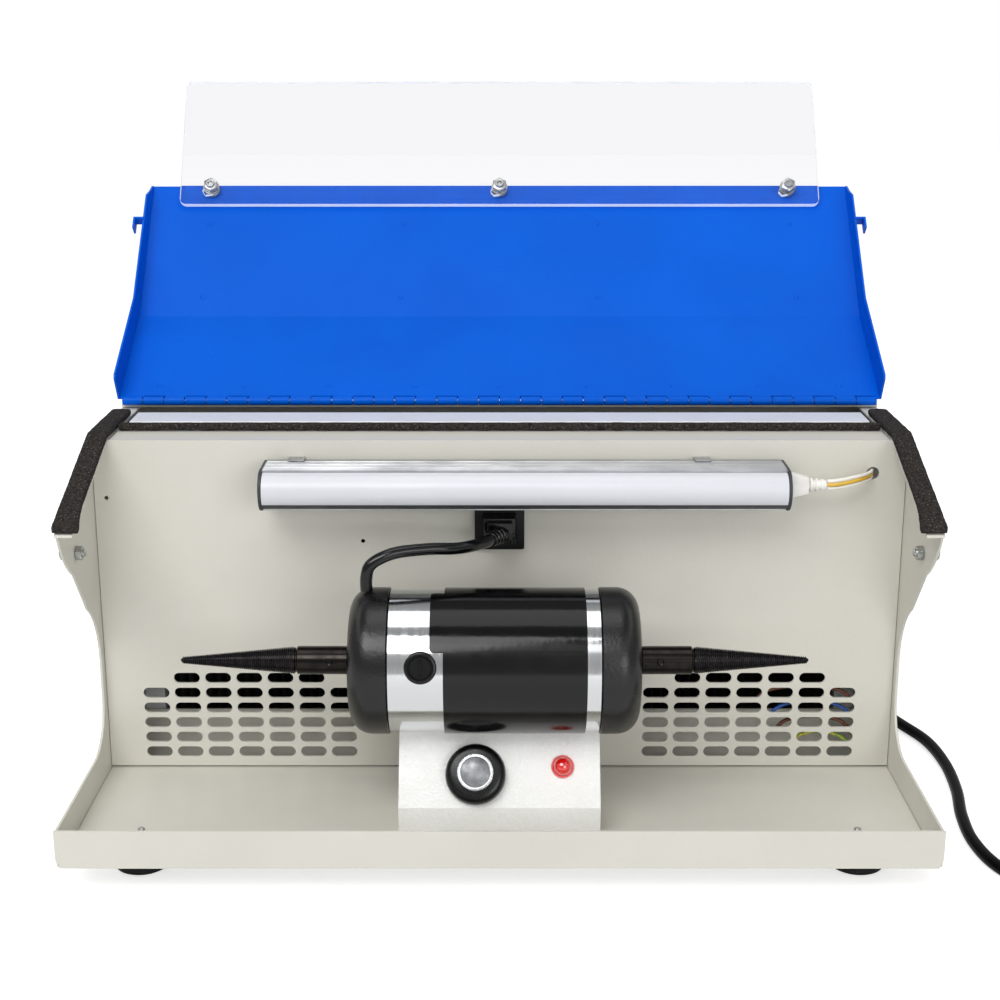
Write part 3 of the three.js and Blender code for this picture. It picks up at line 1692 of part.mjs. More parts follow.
// The lead from the plug arches over to the top of the left end cap
const plugBack = trayDepth + plugNoseDepth - outletPlate - seam - plugLength;
const bootReach = plugBootLength + seam;
const leadStart = [
  -bootReach * Math.sin(bootTurn),
  plugBack - bootReach * Math.cos(bootTurn),
  outletHeight - plugBootRadius / 4,
];
const leadEnd = [motorX - capInner - capRounding, motorDepth, motorHeight + motorRadius + seam];
const motorLeadRoute = [
  leadStart,
  [leadStart[0] - 3.3, leadStart[1] - 5.8, leadStart[2] + 0.2],
  [-22, 74, 151],
  [-40, 67, 152.5],
  [-58, 61, 151.5],
  [-68.5, 58.6, 146],
  [leadEnd[0], leadEnd[1], leadEnd[2] + leadDiameter],
  leadEnd,
];
place(caseGroup, "motor_lead", tube(motorLeadRoute, leadDiameter / 2, 24), blackRubber());

place(caseGroup, "control_box", controlBox(), cream());
const control = groupAt(caseGroup, [knobX, ...upPanel(knobRise)], -boxLean);
place(control, "speed_control", speedControl(), blackPlastic());
place(control, "speed_knob", speedKnob(), blackPlastic());
place(control, "knob_cap", knobCap(), aluminium());
const pilot = groupAt(caseGroup, [pilotX, ...upPanel(pilotRise)], -boxLean);
place(pilot, "indicator_lamp", indicatorLamp(), finish(0xc01818, 0.2, 0));

const rearSwitch = groupAt(caseGroup, [switchX, caseDepth, switchHeight]);
place(rearSwitch, "rocker_switch", switchHousing(), blackPlastic());
place(rearSwitch, "switch_rocker", switchRocker(), blackPlastic());
place(caseGroup, "cord_gland", cordGland(), blackRubber(), [glandX, caseDepth, glandHeight]);

const coilRoute = coilPoints();
const coilEnd = coilRoute[coilRoute.length - 1];
console.log("least gap between turns of the coil, mm: " + leastCoilGap(coilRoute).toFixed(2));
cordPieces.add(place(machine, "mains_cord", tube(cordRoute, cordDiameter / 2, 42), blackRubber()));
cordPieces.add(place(machine, "cord_coil", woundTube(coilRoute, cordDiameter / 2), blackRubber()));
cordPieces.add(place(machine, "cord_plug", cordPlug(), blackRubber(), [
  coilEnd[0],
  coilEnd[1] + seam,
  coilEnd[2],
]));

// The origin is on the bench, under the middle of the machine without its cord
machine.updateMatrixWorld(true);
const bounds = new THREE.Box3();
machine.traverse((piece) => {
  if (piece.isMesh && !cordPieces.has(piece)) bounds.expandByObject(piece, true);
});
machine.position.y = -(bounds.min.y + bounds.max.y) / 2;

export default machine;
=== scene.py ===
import math

import bmesh
import bpy
from mathutils import Matrix, Vector, noise


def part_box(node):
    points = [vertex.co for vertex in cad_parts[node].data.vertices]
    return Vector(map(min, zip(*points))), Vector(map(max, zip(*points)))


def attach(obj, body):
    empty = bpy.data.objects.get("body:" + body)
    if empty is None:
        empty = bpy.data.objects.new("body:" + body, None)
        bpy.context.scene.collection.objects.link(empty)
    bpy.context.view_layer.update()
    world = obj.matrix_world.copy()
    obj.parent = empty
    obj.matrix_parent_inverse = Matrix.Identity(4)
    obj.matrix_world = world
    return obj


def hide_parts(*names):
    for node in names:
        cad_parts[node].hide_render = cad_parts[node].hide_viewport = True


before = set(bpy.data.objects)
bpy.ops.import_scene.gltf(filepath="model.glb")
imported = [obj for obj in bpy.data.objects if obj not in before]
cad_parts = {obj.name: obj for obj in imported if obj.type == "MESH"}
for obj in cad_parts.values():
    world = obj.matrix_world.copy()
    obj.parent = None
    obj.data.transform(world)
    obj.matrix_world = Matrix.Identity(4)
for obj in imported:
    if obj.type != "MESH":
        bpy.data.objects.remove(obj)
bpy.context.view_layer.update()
scene = bpy.context.scene
scene.view_settings.view_transform = "Standard"

# The camera stands a metre in front of the machine's middle, just above its open hood,
# and looks 15 degrees down on it, as the photograph does.
photo_lens = bpy.data.cameras.new("photo_camera")
photo_lens.sensor_width = 36
photo_lens.lens = 59.94
photo_lens.shift_x = 0.0005
photo_camera = bpy.data.objects.new("photo_camera", photo_lens)
scene.collection.objects.link(photo_camera)
photo_camera.location = (0.0, -0.9755, 0.4270)
photo_camera.rotation_euler = (math.radians(90 - 15.2), 0, 0)
scene.camera = photo_camera


# Mains lead: a round three core cable with a black PVC sheath. It leaves the gland in
# the rear cover, drops to the bench, comes forward along the right side and goes out
# of the picture, where the rest of it is wound in a flat coil of two layers.
def linear(code):
    """An sRGB hex colour as linear red, green, blue and an alpha of 1."""
    parts = [int(code[i : i + 2], 16) / 255 for i in (1, 3, 5)]
    return [c / 12.92 if c <= 0.04045 else ((c + 0.055) / 1.055) ** 2.4 for c in parts] + [1.0]


def add(tree, kind, inputs=None, **settings):
    """A new node with its settings, and its inputs set to values or linked to sockets."""
    made = tree.nodes.new(kind)
    for name, value in settings.items():
        setattr(made, name, value)
    for key, value in (inputs or {}).items():
        if isinstance(value, bpy.types.NodeSocket):
            tree.links.new(value, made.inputs[key])
        elif isinstance(value, list) and isinstance(value[0], bpy.types.NodeSocket):
            for socket in reversed(value):
                tree.links.new(socket, made.inputs[key])
        else:
            made.inputs[key].default_value = value
    return made


def coating(name, code, roughness, metallic=0.0, **sockets):
    """A material of one colour, with its node tree and its shader to build on."""
    material = bpy.data.materials.new(name)
    material.use_nodes = True
    shader = material.node_tree.nodes["Principled BSDF"]
    shader.inputs["Base Color"].default_value = linear(code)
    shader.inputs["Roughness"].default_value = roughness
    shader.inputs["Metallic"].default_value = metallic
    for socket, value in sockets.items():
        shader.inputs[socket.replace("_", " ")].default_value = value
    return material, material.node_tree, shader


def grain(tree, shader, size, height, detail=2.0, stretch=(1, 1, 1)):
    """A raised grain of one size, in metres, on the whole surface."""
    place = add(tree, "ShaderNodeTexCoord").outputs["Object"]
    drawn = add(tree, "ShaderNodeMapping", {"Vector": place, "Scale": stretch}).outputs["Vector"]
    pattern = add(tree, "ShaderNodeTexNoise", {"Vector": drawn, "Scale": 1 / size, "Detail": detail})
    bump = add(
        tree,
        "ShaderNodeBump",
        {"Height": pattern.outputs["Fac"], "Distance": height, "Strength": 1.0},
    )
    tree.links.new(bump.outputs["Normal"], shader.inputs["Normal"])


def varied(tree, shader, code, other, size, low=0.25, high=0.75, roughness=None):
    """The colour drifts between two tones over a distance, and the gloss with it."""
    place = add(tree, "ShaderNodeTexCoord").outputs["Object"]
    cloud = add(tree, "ShaderNodeTexNoise", {"Vector": place, "Scale": 1 / size, "Detail": 4.0})
    share = add(
        tree,
        "ShaderNodeMapRange",
        {"Value": cloud.outputs["Fac"], "From Min": low, "From Max": high},
        interpolation_type="SMOOTHSTEP",
    ).outputs["Result"]
    tone = add(
        tree,
        "ShaderNodeMix",
        {0: share, 6: linear(code), 7: linear(other)},
        data_type="RGBA",
    ).outputs[2]
    tree.links.new(tone, shader.inputs["Base Color"])
    if roughness:
        gloss = add(
            tree,
            "ShaderNodeMapRange",
            {"Value": share, "To Min": roughness[0], "To Max": roughness[1]},
        ).outputs["Result"]
        tree.links.new(gloss, shader.inputs["Roughness"])


def put(name, mesh, body, slot, material, *nodes):
    """A finished piece on its body, standing for the CAD nodes named. The slot is not used."""
    made = mesh if isinstance(mesh, bpy.types.Object) else bpy.data.objects.new(name, mesh)
    if made.name not in scene.collection.objects:
        scene.collection.objects.link(made)
    made.name = name
    if material:
        made.data.materials.clear()
        made.data.materials.append(material)
    if nodes:
        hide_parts(*nodes)
    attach(made, body)
    return made


def smooth_route(points, step=0.0015):
    """Even points on the smooth curve through the given ones, ends included."""
    ends = [2 * points[0] - points[1], *points, 2 * points[-1] - points[-2]]
    fine = [points[0]]
    for p, q, r, s in zip(ends, ends[1:], ends[2:], ends[3:]):
        a, b, c = ((v - u).length ** 0.5 for u, v in ((p, q), (q, r), (r, s)))
        start = b * ((q - p) / a - (r - p) / (a + b) + (r - q) / b)
        end = b * ((r - q) / b - (s - q) / (b + c) + (s - r) / c)
        count = max(2, round((r - q).length / step))
        for i in range(1, count + 1):
            t = i / count
            fine.append(
                q
                + start * (t - 2 * t**2 + t**3)
                + (r - q) * (3 * t**2 - 2 * t**3)
                + end * (t**3 - t**2)
            )
    return fine


def laid_lead(name, points, radius):
    """A lead as one open curve with a round section and closed ends."""
    curve = bpy.data.curves.new(name, "CURVE")
    curve.dimensions = "3D"
    line = curve.splines.new("POLY")
    line.points.add(len(points) - 1)
    for spot, point in zip(line.points, points):
        spot.co = (*point, 1)
    line.use_smooth = True
    curve.bevel_depth = radius
    curve.bevel_resolution = 4
    curve.use_fill_caps = True
    made = bpy.data.objects.new(name, curve)
    scene.collection.objects.link(made)
    return made


# PVC sheath: even black, half matt, with the faint drawn grain of the extruder
black_pvc, tree, shader = coating("black_pvc_sheath", "#060607", 0.3, Specular_IOR_Level=0.06)
varied(tree, shader, "#050506", "#08090A", 0.03, roughness=(0.26, 0.34))
grain(tree, shader, 0.0009, 0.00004)

lead_radius = 0.0035
lead_height = 0.003575
lead_route = [
    Vector(p)
    for p in (
        (0.19000, 0.08412, 0.04150),
        (0.19000, 0.09112, 0.04150),
        (0.19300, 0.10982, 0.03800),
        (0.20600, 0.12282, 0.02800),
        (0.22200, 0.11682, 0.01400),
        (0.23600, 0.09482, 0.00550),
        (0.24800, 0.06282, lead_height),
        (0.26000, 0.02982, lead_height),
        (0.27000, 0.00182, lead_height),
        (0.27300, -0.03318, lead_height),
        (0.27000, -0.07118, lead_height),
        (0.26400, -0.10518, lead_height),
        (0.26200, -0.13718, lead_height),
        (0.26700, -0.16518, lead_height),
        (0.28200, -0.19018, lead_height),
        (0.30200, -0.20218, lead_height),
        (0.32100, -0.204176, lead_height),
    )
]
coil_middle = (0.335, -0.156176)
coil_outer = 0.048
coil_pitch = 0.0076
layer_gap = 0.0006
points_per_turn = 22
turns_in, turns_out, turns_climbing = 2.75, 2.5, 0.5
lead_upper = lead_height + 2 * lead_radius + layer_gap
coil_route = []
coil_steps = round((turns_in + turns_out) * points_per_turn)
for i in range(coil_steps + 1):
    turns = i / points_per_turn
    climb = min(max((turns - turns_in + turns_climbing / 2) / turns_climbing, 0), 1)
    reach = coil_outer - turns_in * coil_pitch + abs(turns - turns_in) * coil_pitch
    angle = 2 * math.pi * turns - math.pi / 2
    coil_route.append(
        Vector(
            (
                coil_middle[0] + reach * math.cos(angle),
                coil_middle[1] + reach * math.sin(angle),
                lead_height + (lead_upper - lead_height) * climb,
            )
        )
    )
# The end of the lead climbs from the coil's upper layer to the height of its plug
plug_height = 0.0185
tail, tail_steps = 0.052, 6
for i in range(1, tail_steps + 1):
    share = i / tail_steps
    rise = min(share / (5 / 6), 1)
    rise = rise * rise * (3 - 2 * rise)
    coil_route.append(
        Vector(
            (
                coil_route[coil_steps].x,
                coil_route[coil_steps].y + tail * share,
                lead_upper + (plug_height - lead_upper) * rise,
            )
        )
    )
mains_line = smooth_route(lead_route + coil_route)
mains_lead = laid_lead("mains_lead", mains_line, lead_radius)

# The plug on its end: a moulded two pin plug with a ribbed grip and plated pins
plug_start = coil_route[-1] + Vector((0, 0.0003, 0))


def mesh_of(form, name, sharp=None):
    """The mesh of a finished form. Given an angle, it is smooth but for sharper edges."""
    mesh = bpy.data.meshes.new(name)
    form.to_mesh(mesh)
    form.free()
    if sharp:
        mesh.shade_smooth()
        mesh.set_sharp_from_angle(angle=math.radians(sharp))
    return mesh


def turned(name, profile, axis, at, steps=64, sharp=38):
    """A turned shape from (along, radius) pairs about an axis through a point."""
    form = bmesh.new()
    frames = {
        "X": (Vector((1, 0, 0)), Vector((0, 1, 0)), Vector((0, 0, 1))),
        "Y": (Vector((0, 1, 0)), Vector((0, 0, 1)), Vector((1, 0, 0))),
        "Z": (Vector((0, 0, 1)), Vector((1, 0, 0)), Vector((0, 1, 0))),
    }
    along, side, up = frames[axis]
    at = Vector(at)
    rings = []
    for reach, radius in profile:
        if radius < 1e-7:
            rings.append([form.verts.new(at + along * reach)])
            continue
        rings.append(
            [
                form.verts.new(
                    at
                    + along * reach
                    + radius
                    * (side * math.cos(2 * math.pi * i / steps) + up * math.sin(2 * math.pi * i / steps))
                )
                for i in range(steps)
            ]
        )
    closed = len(rings[0]) > 1 and profile[0] == profile[-1]
    if closed:
        for spot in rings.pop():
            form.verts.remove(spot)
        rings.append(rings[0])
    for low, high in zip(rings, rings[1:]):
        for i in range(steps):
            k = (i + 1) % steps
            if len(low) == 1 and len(high) == 1:
                continue
            if len(low) == 1:
                form.faces.new((low[0], high[k], high[i]))
            elif len(high) == 1:
                form.faces.new((low[i], low[k], high[0]))
            else:
                form.faces.new((low[i], low[k], high[k], high[i]))
    bmesh.ops.recalc_face_normals(form, faces=form.faces)
    return mesh_of(form, name, sharp)


def eased(made, width, angle=34, segments=2):
    """Softens the edges of a piece, as paint, moulding or tumbling leaves them."""
    edge = made.modifiers.new("eased_edges", "BEVEL")
    edge.width = width
    edge.segments = segments
    edge.limit_method = "ANGLE"
    edge.angle_limit = math.radians(angle)
    edge.harden_normals = True
    edge.use_clamp_overlap = True
    return made


def merged(name, *meshes):
    """Several meshes as one."""
    form = bmesh.new()
    for mesh in meshes:
        form.from_mesh(mesh)
    return mesh_of(form, name, 38)


plug_face, pin_offset = 0.042, 0.0095
plug_profile = [(0, 0), (0, 0.0046)]
for i in range(5):
    on, out = i * 0.003, i * 0.0007
    plug_profile += [
        (0.0014 + on, 0.0052 + out),
        (0.0030 + on, 0.0056 + out),
        (0.0032 + on, 0.0049 + out),
        (0.0042 + on, 0.0049 + out),
    ]
plug_profile += [(0.0178, 0.0093), (0.0206, 0.0182), (plug_face, 0.0182), (plug_face, 0)]
mains_plug = put(
    "mains_plug",
    turned("mains_plug", plug_profile, "Y", plug_start, sharp=30),
    "case",
    "rubber",
    black_pvc,
    "cord_plug",
)
eased(mains_plug, 0.0006)
# Nickel plated brass: a warm bright metal, polished by its use
plated_pins, tree, shader = coating("nickel_plated_pins", "#C9C4B4", 0.22, 1.0)
varied(tree, shader, "#C9C4B4", "#B5AE9A", 0.006, roughness=(0.16, 0.32))
pin_profile = [(0, 0), (0, 0.0024), (0.0165, 0.0024), (0.0188, 0.0014), (0.019, 0)]
plug_pins = put(
    "mains_plug_pins",
    merged(
        "mains_plug_pins",
        *(
            turned("pin", pin_profile, "Y", plug_start + Vector((across, plug_face, 0)), 32)
            for across in (-pin_offset, pin_offset)
        ),
    ),
    "case",
    "rubber",
    plated_pins,
)
put("mains_lead", mains_lead, "case", "rubber", black_pvc, "mains_cord", "cord_coil")


# Motor lead: a short black rubber lead that leaves the angled boot of its plug, arches
# over and goes down into the top of the motor's left end cap.
motor_lead_radius = 0.0033
motor_line = smooth_route(
    [
        Vector(p)
        for p in (
            (-0.00515, -0.09760, 0.16575),
            (-0.00845, -0.10340, 0.16595),
            (-0.02200, -0.11918, 0.16750),
            (-0.04000, -0.12618, 0.16900),
            (-0.05800, -0.13218, 0.16800),
            (-0.06850, -0.13458, 0.16250),
            (-0.07060, -0.13488, 0.15560),
            (-0.07060, -0.13488, 0.14900),
        )
    ],
    0.0012,
)
# Polished rubber: deeper black than the mains lead, with a wet looking highlight
glossy_rubber, tree, shader = coating("polished_black_rubber", "#050608", 0.14, Specular_IOR_Level=0.4)
varied(tree, shader, "#040506", "#08090B", 0.012, roughness=(0.11, 0.18))
grain(tree, shader, 0.0016, 0.00006)
motor_lead = laid_lead("motor_lead_rubber", motor_line, motor_lead_radius)
put("motor_lead_rubber", motor_lead, "case", "rubber", glossy_rubber, "motor_lead")

# Lamp wires: two white and one yellow, from the lamp's white plug to a hole in the wall.
# PVC insulation is smooth and slightly waxy.
white_wire, tree, shader = coating("white_wire_insulation", "#EFEDE6", 0.35)
varied(tree, shader, "#F2F0EA", "#E4E0D6", 0.01)
yellow_wire, tree, shader = coating("yellow_wire_insulation", "#E3B83A", 0.35)
varied(tree, shader, "#E8C04A", "#D6A62C", 0.01)
lamp_wire_radius, wire_spacing = 0.00098, 0.0021
for name, lift, sway, material in (
    ("lamp_wire_upper", wire_spacing, 0.0, white_wire),
    ("lamp_wire_middle", 0.0, 0.0006, yellow_wire),
    ("lamp_wire_lower", -wire_spacing, 0.0, white_wire),
):
    wire_line = smooth_route(
        [
            Vector((0.1812, -0.0849, 0.1937 + lift)),
            Vector((0.1860, -0.0849 - sway, 0.1940 + lift)),
            Vector((0.1955, -0.0826 - sway, 0.1952 + lift)),
            Vector((0.2048, -0.0770, 0.1962 + lift * 0.9)),
            Vector((0.2088, -0.0700, 0.1965 + lift * 0.8)),
            Vector((0.2095, -0.0656, 0.1965 + lift * 0.7)),
        ],
        0.001,
    )
    wire = laid_lead(name, wire_line, lamp_wire_radius)
    put(name, wire, "case", "white_plastic", material, *(["lamp_lead"] if lift > 0 else []))


# Case: folded from 1.5 mm steel sheet in five pieces and powder coated a warm cream
# grey. The coat has a fine orange peel and rounds every edge a little.
def joined(node):
    """The form of a CAD node, with its loose triangles joined where they meet."""
    form = bmesh.new()
    form.from_mesh(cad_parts[node].data)
    bmesh.ops.remove_doubles(form, verts=form.verts, dist=2e-6)
    return form


def coated(node, body, slot, material, ease=0.0005, sharp=32):
    """A joined copy of a CAD node with eased edges, which stands for it."""
    form = joined(node)
    bmesh.ops.dissolve_degenerate(form, edges=form.edges, dist=1e-6)
    bmesh.ops.dissolve_limit(
        form, angle_limit=math.radians(0.5), verts=form.verts, edges=form.edges
    )
    name = node + "_finished"
    return eased(put(name, mesh_of(form, name, sharp), body, slot, material, node), ease, sharp)


# Powder coat on steel: satin, faintly mottled, with an orange peel about 2 mm across
cream_coat, tree, shader = coating("cream_powder_coat", "#D6D4CA", 0.36)
varied(tree, shader, "#D8D6CC", "#D3D1C7", 0.06, roughness=(0.3, 0.42))
grain(tree, shader, 0.0021, 0.00009, 3.0)
for node in ("base_pan", "side_panel_right", "side_panel_left", "rear_panel"):
    coated(node, "case", "case_paint", cream_coat)


# Slotted wall: punched with a block of round ended slots on each side of the motor, and
# folded at its top and foot. The top row of a block lacks its first and last slot.
def node_piece(name, build, **sizes):
    """The mesh that a node tree makes from named sizes, in the finish named last."""
    group = bpy.data.node_groups.new(name, "GeometryNodeTree")
    group.interface.new_socket("Geometry", in_out="OUTPUT", socket_type="NodeSocketGeometry")
    kinds = {float: "NodeSocketFloat", int: "NodeSocketInt", bpy.types.Material: "NodeSocketMaterial"}
    keys = {}
    for label, value in sizes.items():
        words = label.replace("_", " ").capitalize()
        socket = group.interface.new_socket(words, in_out="INPUT", socket_type=kinds[type(value)])
        keys[label] = socket.identifier
    entry = group.nodes.new("NodeGroupInput")
    leave = group.nodes.new("NodeGroupOutput")
    ports = {label: entry.outputs[i] for i, label in enumerate(sizes)}
    whole = add(group, "GeometryNodeRealizeInstances", {"Geometry": build(group, ports)}).outputs[0]
    dressed = add(group, "GeometryNodeSetMaterial", {"Geometry": whole, "Material": ports["finish"]})
    group.links.new(dressed.outputs[0], leave.inputs[0])
    holder = bpy.data.objects.new(name, bpy.data.meshes.new(name))
    scene.collection.objects.link(holder)
    grown = holder.modifiers.new(name, "NODES")
    grown.node_group = group
    for label, value in sizes.items():
        grown[keys[label]] = value
    return applied(holder, name)


def applied(holder, name):
    """The mesh of an object with its modifiers applied. The object goes."""
    bpy.context.view_layer.update()
    mesh = bpy.data.meshes.new_from_object(holder.evaluated_get(bpy.context.evaluated_depsgraph_get()))
    bpy.data.objects.remove(holder)
    mesh.name = name
    return mesh


def slotted_sheet(tree, size):
    """Flat sheet in X and Y with two blocks of slots and two holes, thickened along Z."""
    rows = add(
        tree,
        "GeometryNodeMeshGrid",
        {
            "Size X": size["block_width"],
            "Size Y": size["block_height"],
            "Vertices X": size["columns"],
            "Vertices Y": size["full_rows"],
        },
    ).outputs["Mesh"]
    top_start = add(tree, "ShaderNodeCombineXYZ", {"X": size["top_row_start"], "Y": size["top_row_up"]})
    step = add(tree, "ShaderNodeCombineXYZ", {"X": size["pitch"]}).outputs[0]
    top_row = add(
        tree,
        "GeometryNodeMeshLine",
        {"Count": size["top_columns"], "Start Location": top_start.outputs[0], "Offset": step},
    ).outputs[0]
    spots = add(tree, "GeometryNodeJoinGeometry", {0: [rows, top_row]}).outputs[0]
    slot = add(
        tree,
        "GeometryNodeCurvePrimitiveQuadrilateral",
        {"Width": size["slot_length"], "Height": size["slot_height"]},
    ).outputs[0]
    rounded = add(
        tree,
        "GeometryNodeFilletCurve",
        {"Curve": slot, "Radius": size["slot_rounding"], "Count": 7},
        mode="POLY",
    ).outputs[0]
    block = add(tree, "GeometryNodeInstanceOnPoints", {"Points": spots, "Instance": rounded}).outputs[0]
    left = add(tree, "ShaderNodeCombineXYZ", {"X": size["left_block"], "Y": size["block_up"]}).outputs[0]
    apart = add(tree, "ShaderNodeCombineXYZ", {"X": size["block_spacing"]}).outputs[0]
    ends = add(
        tree, "GeometryNodeMeshLine", {"Count": 2, "Start Location": left, "Offset": apart}
    ).outputs[0]
    blocks = add(tree, "GeometryNodeInstanceOnPoints", {"Points": ends, "Instance": block}).outputs[0]
    outline = add(
        tree,
        "GeometryNodeCurvePrimitiveQuadrilateral",
        {"Width": size["width"], "Height": size["height"]},
    ).outputs[0]
    middle = add(tree, "ShaderNodeCombineXYZ", {"Y": size["middle_up"]}).outputs[0]
    lines = [
        add(tree, "GeometryNodeRealizeInstances", {"Geometry": blocks}).outputs[0],
        add(tree, "GeometryNodeTransform", {"Geometry": outline, "Translation": middle}).outputs[0],
    ]
    for radius, across, up in (
        ("wire_hole", "wire_hole_across", "wire_hole_up"),
        ("small_hole", "small_hole_across", "small_hole_up"),
        ("small_hole", "edge_hole_across", "edge_hole_up"),
    ):
        ring = add(
            tree,
            "GeometryNodeCurvePrimitiveCircle",
            {"Resolution": 24, "Radius": size[radius]},
            mode="RADIUS",
        ).outputs[0]
        spot = add(tree, "ShaderNodeCombineXYZ", {"X": size[across], "Y": size[up]}).outputs[0]
        lines.append(
            add(tree, "GeometryNodeTransform", {"Geometry": ring, "Translation": spot}).outputs[0]
        )
    drawn = add(tree, "GeometryNodeJoinGeometry", {0: lines}).outputs[0]
    face = add(tree, "GeometryNodeFillCurve", {"Curve": drawn}, mode="TRIANGLES").outputs[0]
    thick = add(
        tree,
        "GeometryNodeExtrudeMesh",
        {"Mesh": face, "Offset Scale": size["thickness"], "Individual": False},
    ).outputs[0]
    back = add(tree, "GeometryNodeFlipFaces", {"Mesh": face}).outputs[0]
    both = add(tree, "GeometryNodeJoinGeometry", {0: [thick, back]}).outputs[0]
    return add(tree, "GeometryNodeMergeByDistance", {"Geometry": both, "Distance": 1e-6}).outputs[0]


wall_low, wall_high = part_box("perforated_wall")
# A line of shadow shows where the foot of the wall stands off the tray
foot_gap = 0.0007
wall_low.z += foot_gap
wall_front, wall_thickness = wall_low.y, 0.0015
slot_columns, slot_rows = 7, 6
slot_pitch, row_pitch = 0.0181, 0.0092
first_slot, lowest_slot = 0.091, 0.0279
block_width = (slot_columns - 1) * slot_pitch
block_height = (slot_rows - 2) * row_pitch
wall_sheet = node_piece(
    "slotted_wall",
    slotted_sheet,
    width=wall_high.x - wall_low.x,
    height=wall_high.z - wall_low.z,
    middle_up=(wall_high.z + wall_low.z) / 2,
    thickness=wall_thickness,
    columns=slot_columns,
    full_rows=slot_rows - 1,
    top_columns=slot_columns - 2,
    pitch=slot_pitch,
    block_width=block_width,
    block_height=block_height,
    top_row_start=slot_pitch - block_width / 2,
    top_row_up=block_height / 2 + row_pitch,
    left_block=-(first_slot + block_width / 2),
    block_spacing=2 * first_slot + block_width,
    block_up=lowest_slot + block_height / 2,
    slot_length=0.015,
    slot_height=0.0063,
    slot_rounding=0.00314,
    wire_hole=0.0036,
    wire_hole_across=0.2095,
    wire_hole_up=0.1965,
    small_hole=0.0012,
    small_hole_across=-0.0774,
    small_hole_up=0.1568,
    edge_hole_across=-0.2215,
    edge_hole_up=0.1821,
    finish=cream_coat,
)
# The sheet stands up: its Y becomes the height, and its Z the depth
wall_sheet.transform(
    Matrix(((1, 0, 0, 0), (0, 0, -1, wall_front + wall_thickness), (0, 1, 0, 0), (0, 0, 0, 1)))
)


def boxes(name, *corners):
    """Plain folded or cut bars, each from its lowest to its highest corner."""
    form = bmesh.new()
    for low, high in corners:
        low, high = Vector(low), Vector(high)
        place = Matrix.Translation((low + high) / 2) @ Matrix.Diagonal((*(high - low), 1))
        bmesh.ops.create_cube(form, size=1, matrix=place)
    return mesh_of(form, name)


# Both folds start 0.3 mm inside the sheet and run to the rear
fold_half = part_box("foam_front")[1].x
fold_front, foot_depth = wall_front + 0.0012, 0.010
wall_folds = boxes(
    "wall_folds",
    (
        (-fold_half, fold_front, wall_high.z - wall_thickness),
        (fold_half, wall_high.y, wall_high.z),
    ),
    (
        (wall_low.x, fold_front, wall_low.z),
        (wall_high.x, wall_front + foot_depth, wall_low.z + wall_thickness),
    ),
)
form = bmesh.new()
for mesh in (wall_sheet, wall_folds):
    form.from_mesh(mesh)
bmesh.ops.dissolve_limit(form, angle_limit=math.radians(0.5), verts=form.verts, edges=form.edges)
bmesh.ops.recalc_face_normals(form, faces=form.faces)
form.to_mesh(wall_sheet)
form.free()
wall_sheet.shade_smooth()
wall_sheet.set_sharp_from_angle(angle=math.radians(32))
slotted_wall = put("slotted_wall", wall_sheet, "case", "case_paint", cream_coat, "perforated_wall")
eased(slotted_wall, 0.0005, 40)

# Foam strips: open cell foam cut in bands and glued along the top of the wall and of
# both sides, where the closed hood rests on them. The cut edges are soft and uneven.
foam_cells, tree, shader = coating("open_cell_foam", "#262320", 0.95, Specular_IOR_Level=0.1)
place = add(tree, "ShaderNodeTexCoord").outputs["Object"]
# Real cells are 0.6 mm across. They are drawn at 1.3 mm, so that they show.
cells = add(tree, "ShaderNodeTexVoronoi", {"Vector": place, "Scale": 1 / 0.0013})
pits = add(tree, "ShaderNodeBump", {"Height": cells.outputs["Distance"], "Distance": 0.0005})
tree.links.new(pits.outputs["Normal"], shader.inputs["Normal"])
# Pale specks sit in single cells, scattered at random
pale_speck_cells = add(tree, "ShaderNodeTexVoronoi", {"Vector": place, "Scale": 1 / 0.0019})
speck = add(
    tree,
    "ShaderNodeMapRange",
    {"Value": pale_speck_cells.outputs["Distance"], "From Min": 0.24, "From Max": 0.1},
).outputs["Result"]
depth = add(
    tree,
    "ShaderNodeMix",
    {0: cells.outputs["Distance"], 6: linear("#403C39"), 7: linear("#1C1A19")},
    data_type="RGBA",
).outputs[2]
tone = add(tree, "ShaderNodeMix", {0: speck, 6: depth, 7: linear("#68635F")}, data_type="RGBA")
tree.links.new(tone.outputs[2], shader.inputs["Base Color"])


def foam_strip(node, voxel):
    """A strip in the space of its CAD solid, with rounded, slightly uneven faces."""
    holder = bpy.data.objects.new(node + "_block", mesh_of(joined(node), node))
    scene.collection.objects.link(holder)
    evened = holder.modifiers.new("evened", "REMESH")
    evened.mode = "VOXEL"
    evened.voxel_size = voxel
    softened = holder.modifiers.new("softened", "SMOOTH")
    softened.factor = 0.5
    softened.iterations = 9
    strip = applied(holder, node + "_strip")
    low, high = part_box(node)
    middle = (low.x + high.x) / 2
    for spot in strip.vertices:
        # The strip of a wing spreads over its lower end, inwards from the glued edge
        if node != "foam_front" and (spot.co.x - middle) * middle < 0:
            spread = max(0, 1 - (spot.co.y - low.y) / 0.03) ** 2
            spot.co.x -= math.copysign(0.0034 * spread, middle)
        spot.co += spot.normal * (noise.noise(spot.co * 170) * 0.0002 - 0.0001)
    strip.shade_smooth()
    return put(node + "_strip", strip, "case", "foam", foam_cells, node)


for node in ("foam_front", "foam_left", "foam_right"):
    foam_strip(node, 0.0012)

# Feet: moulded rubber bumpers with a recess for the screw head. The stud of each goes
# up through the tray and shows as a threaded tip on the tray floor.
foot_rubber, tree, shader = coating("moulded_rubber", "#121213", 0.62, Specular_IOR_Level=0.3)
varied(tree, shader, "#151516", "#0F0F10", 0.006, roughness=(0.55, 0.7))
grain(tree, shader, 0.0012, 0.00005)
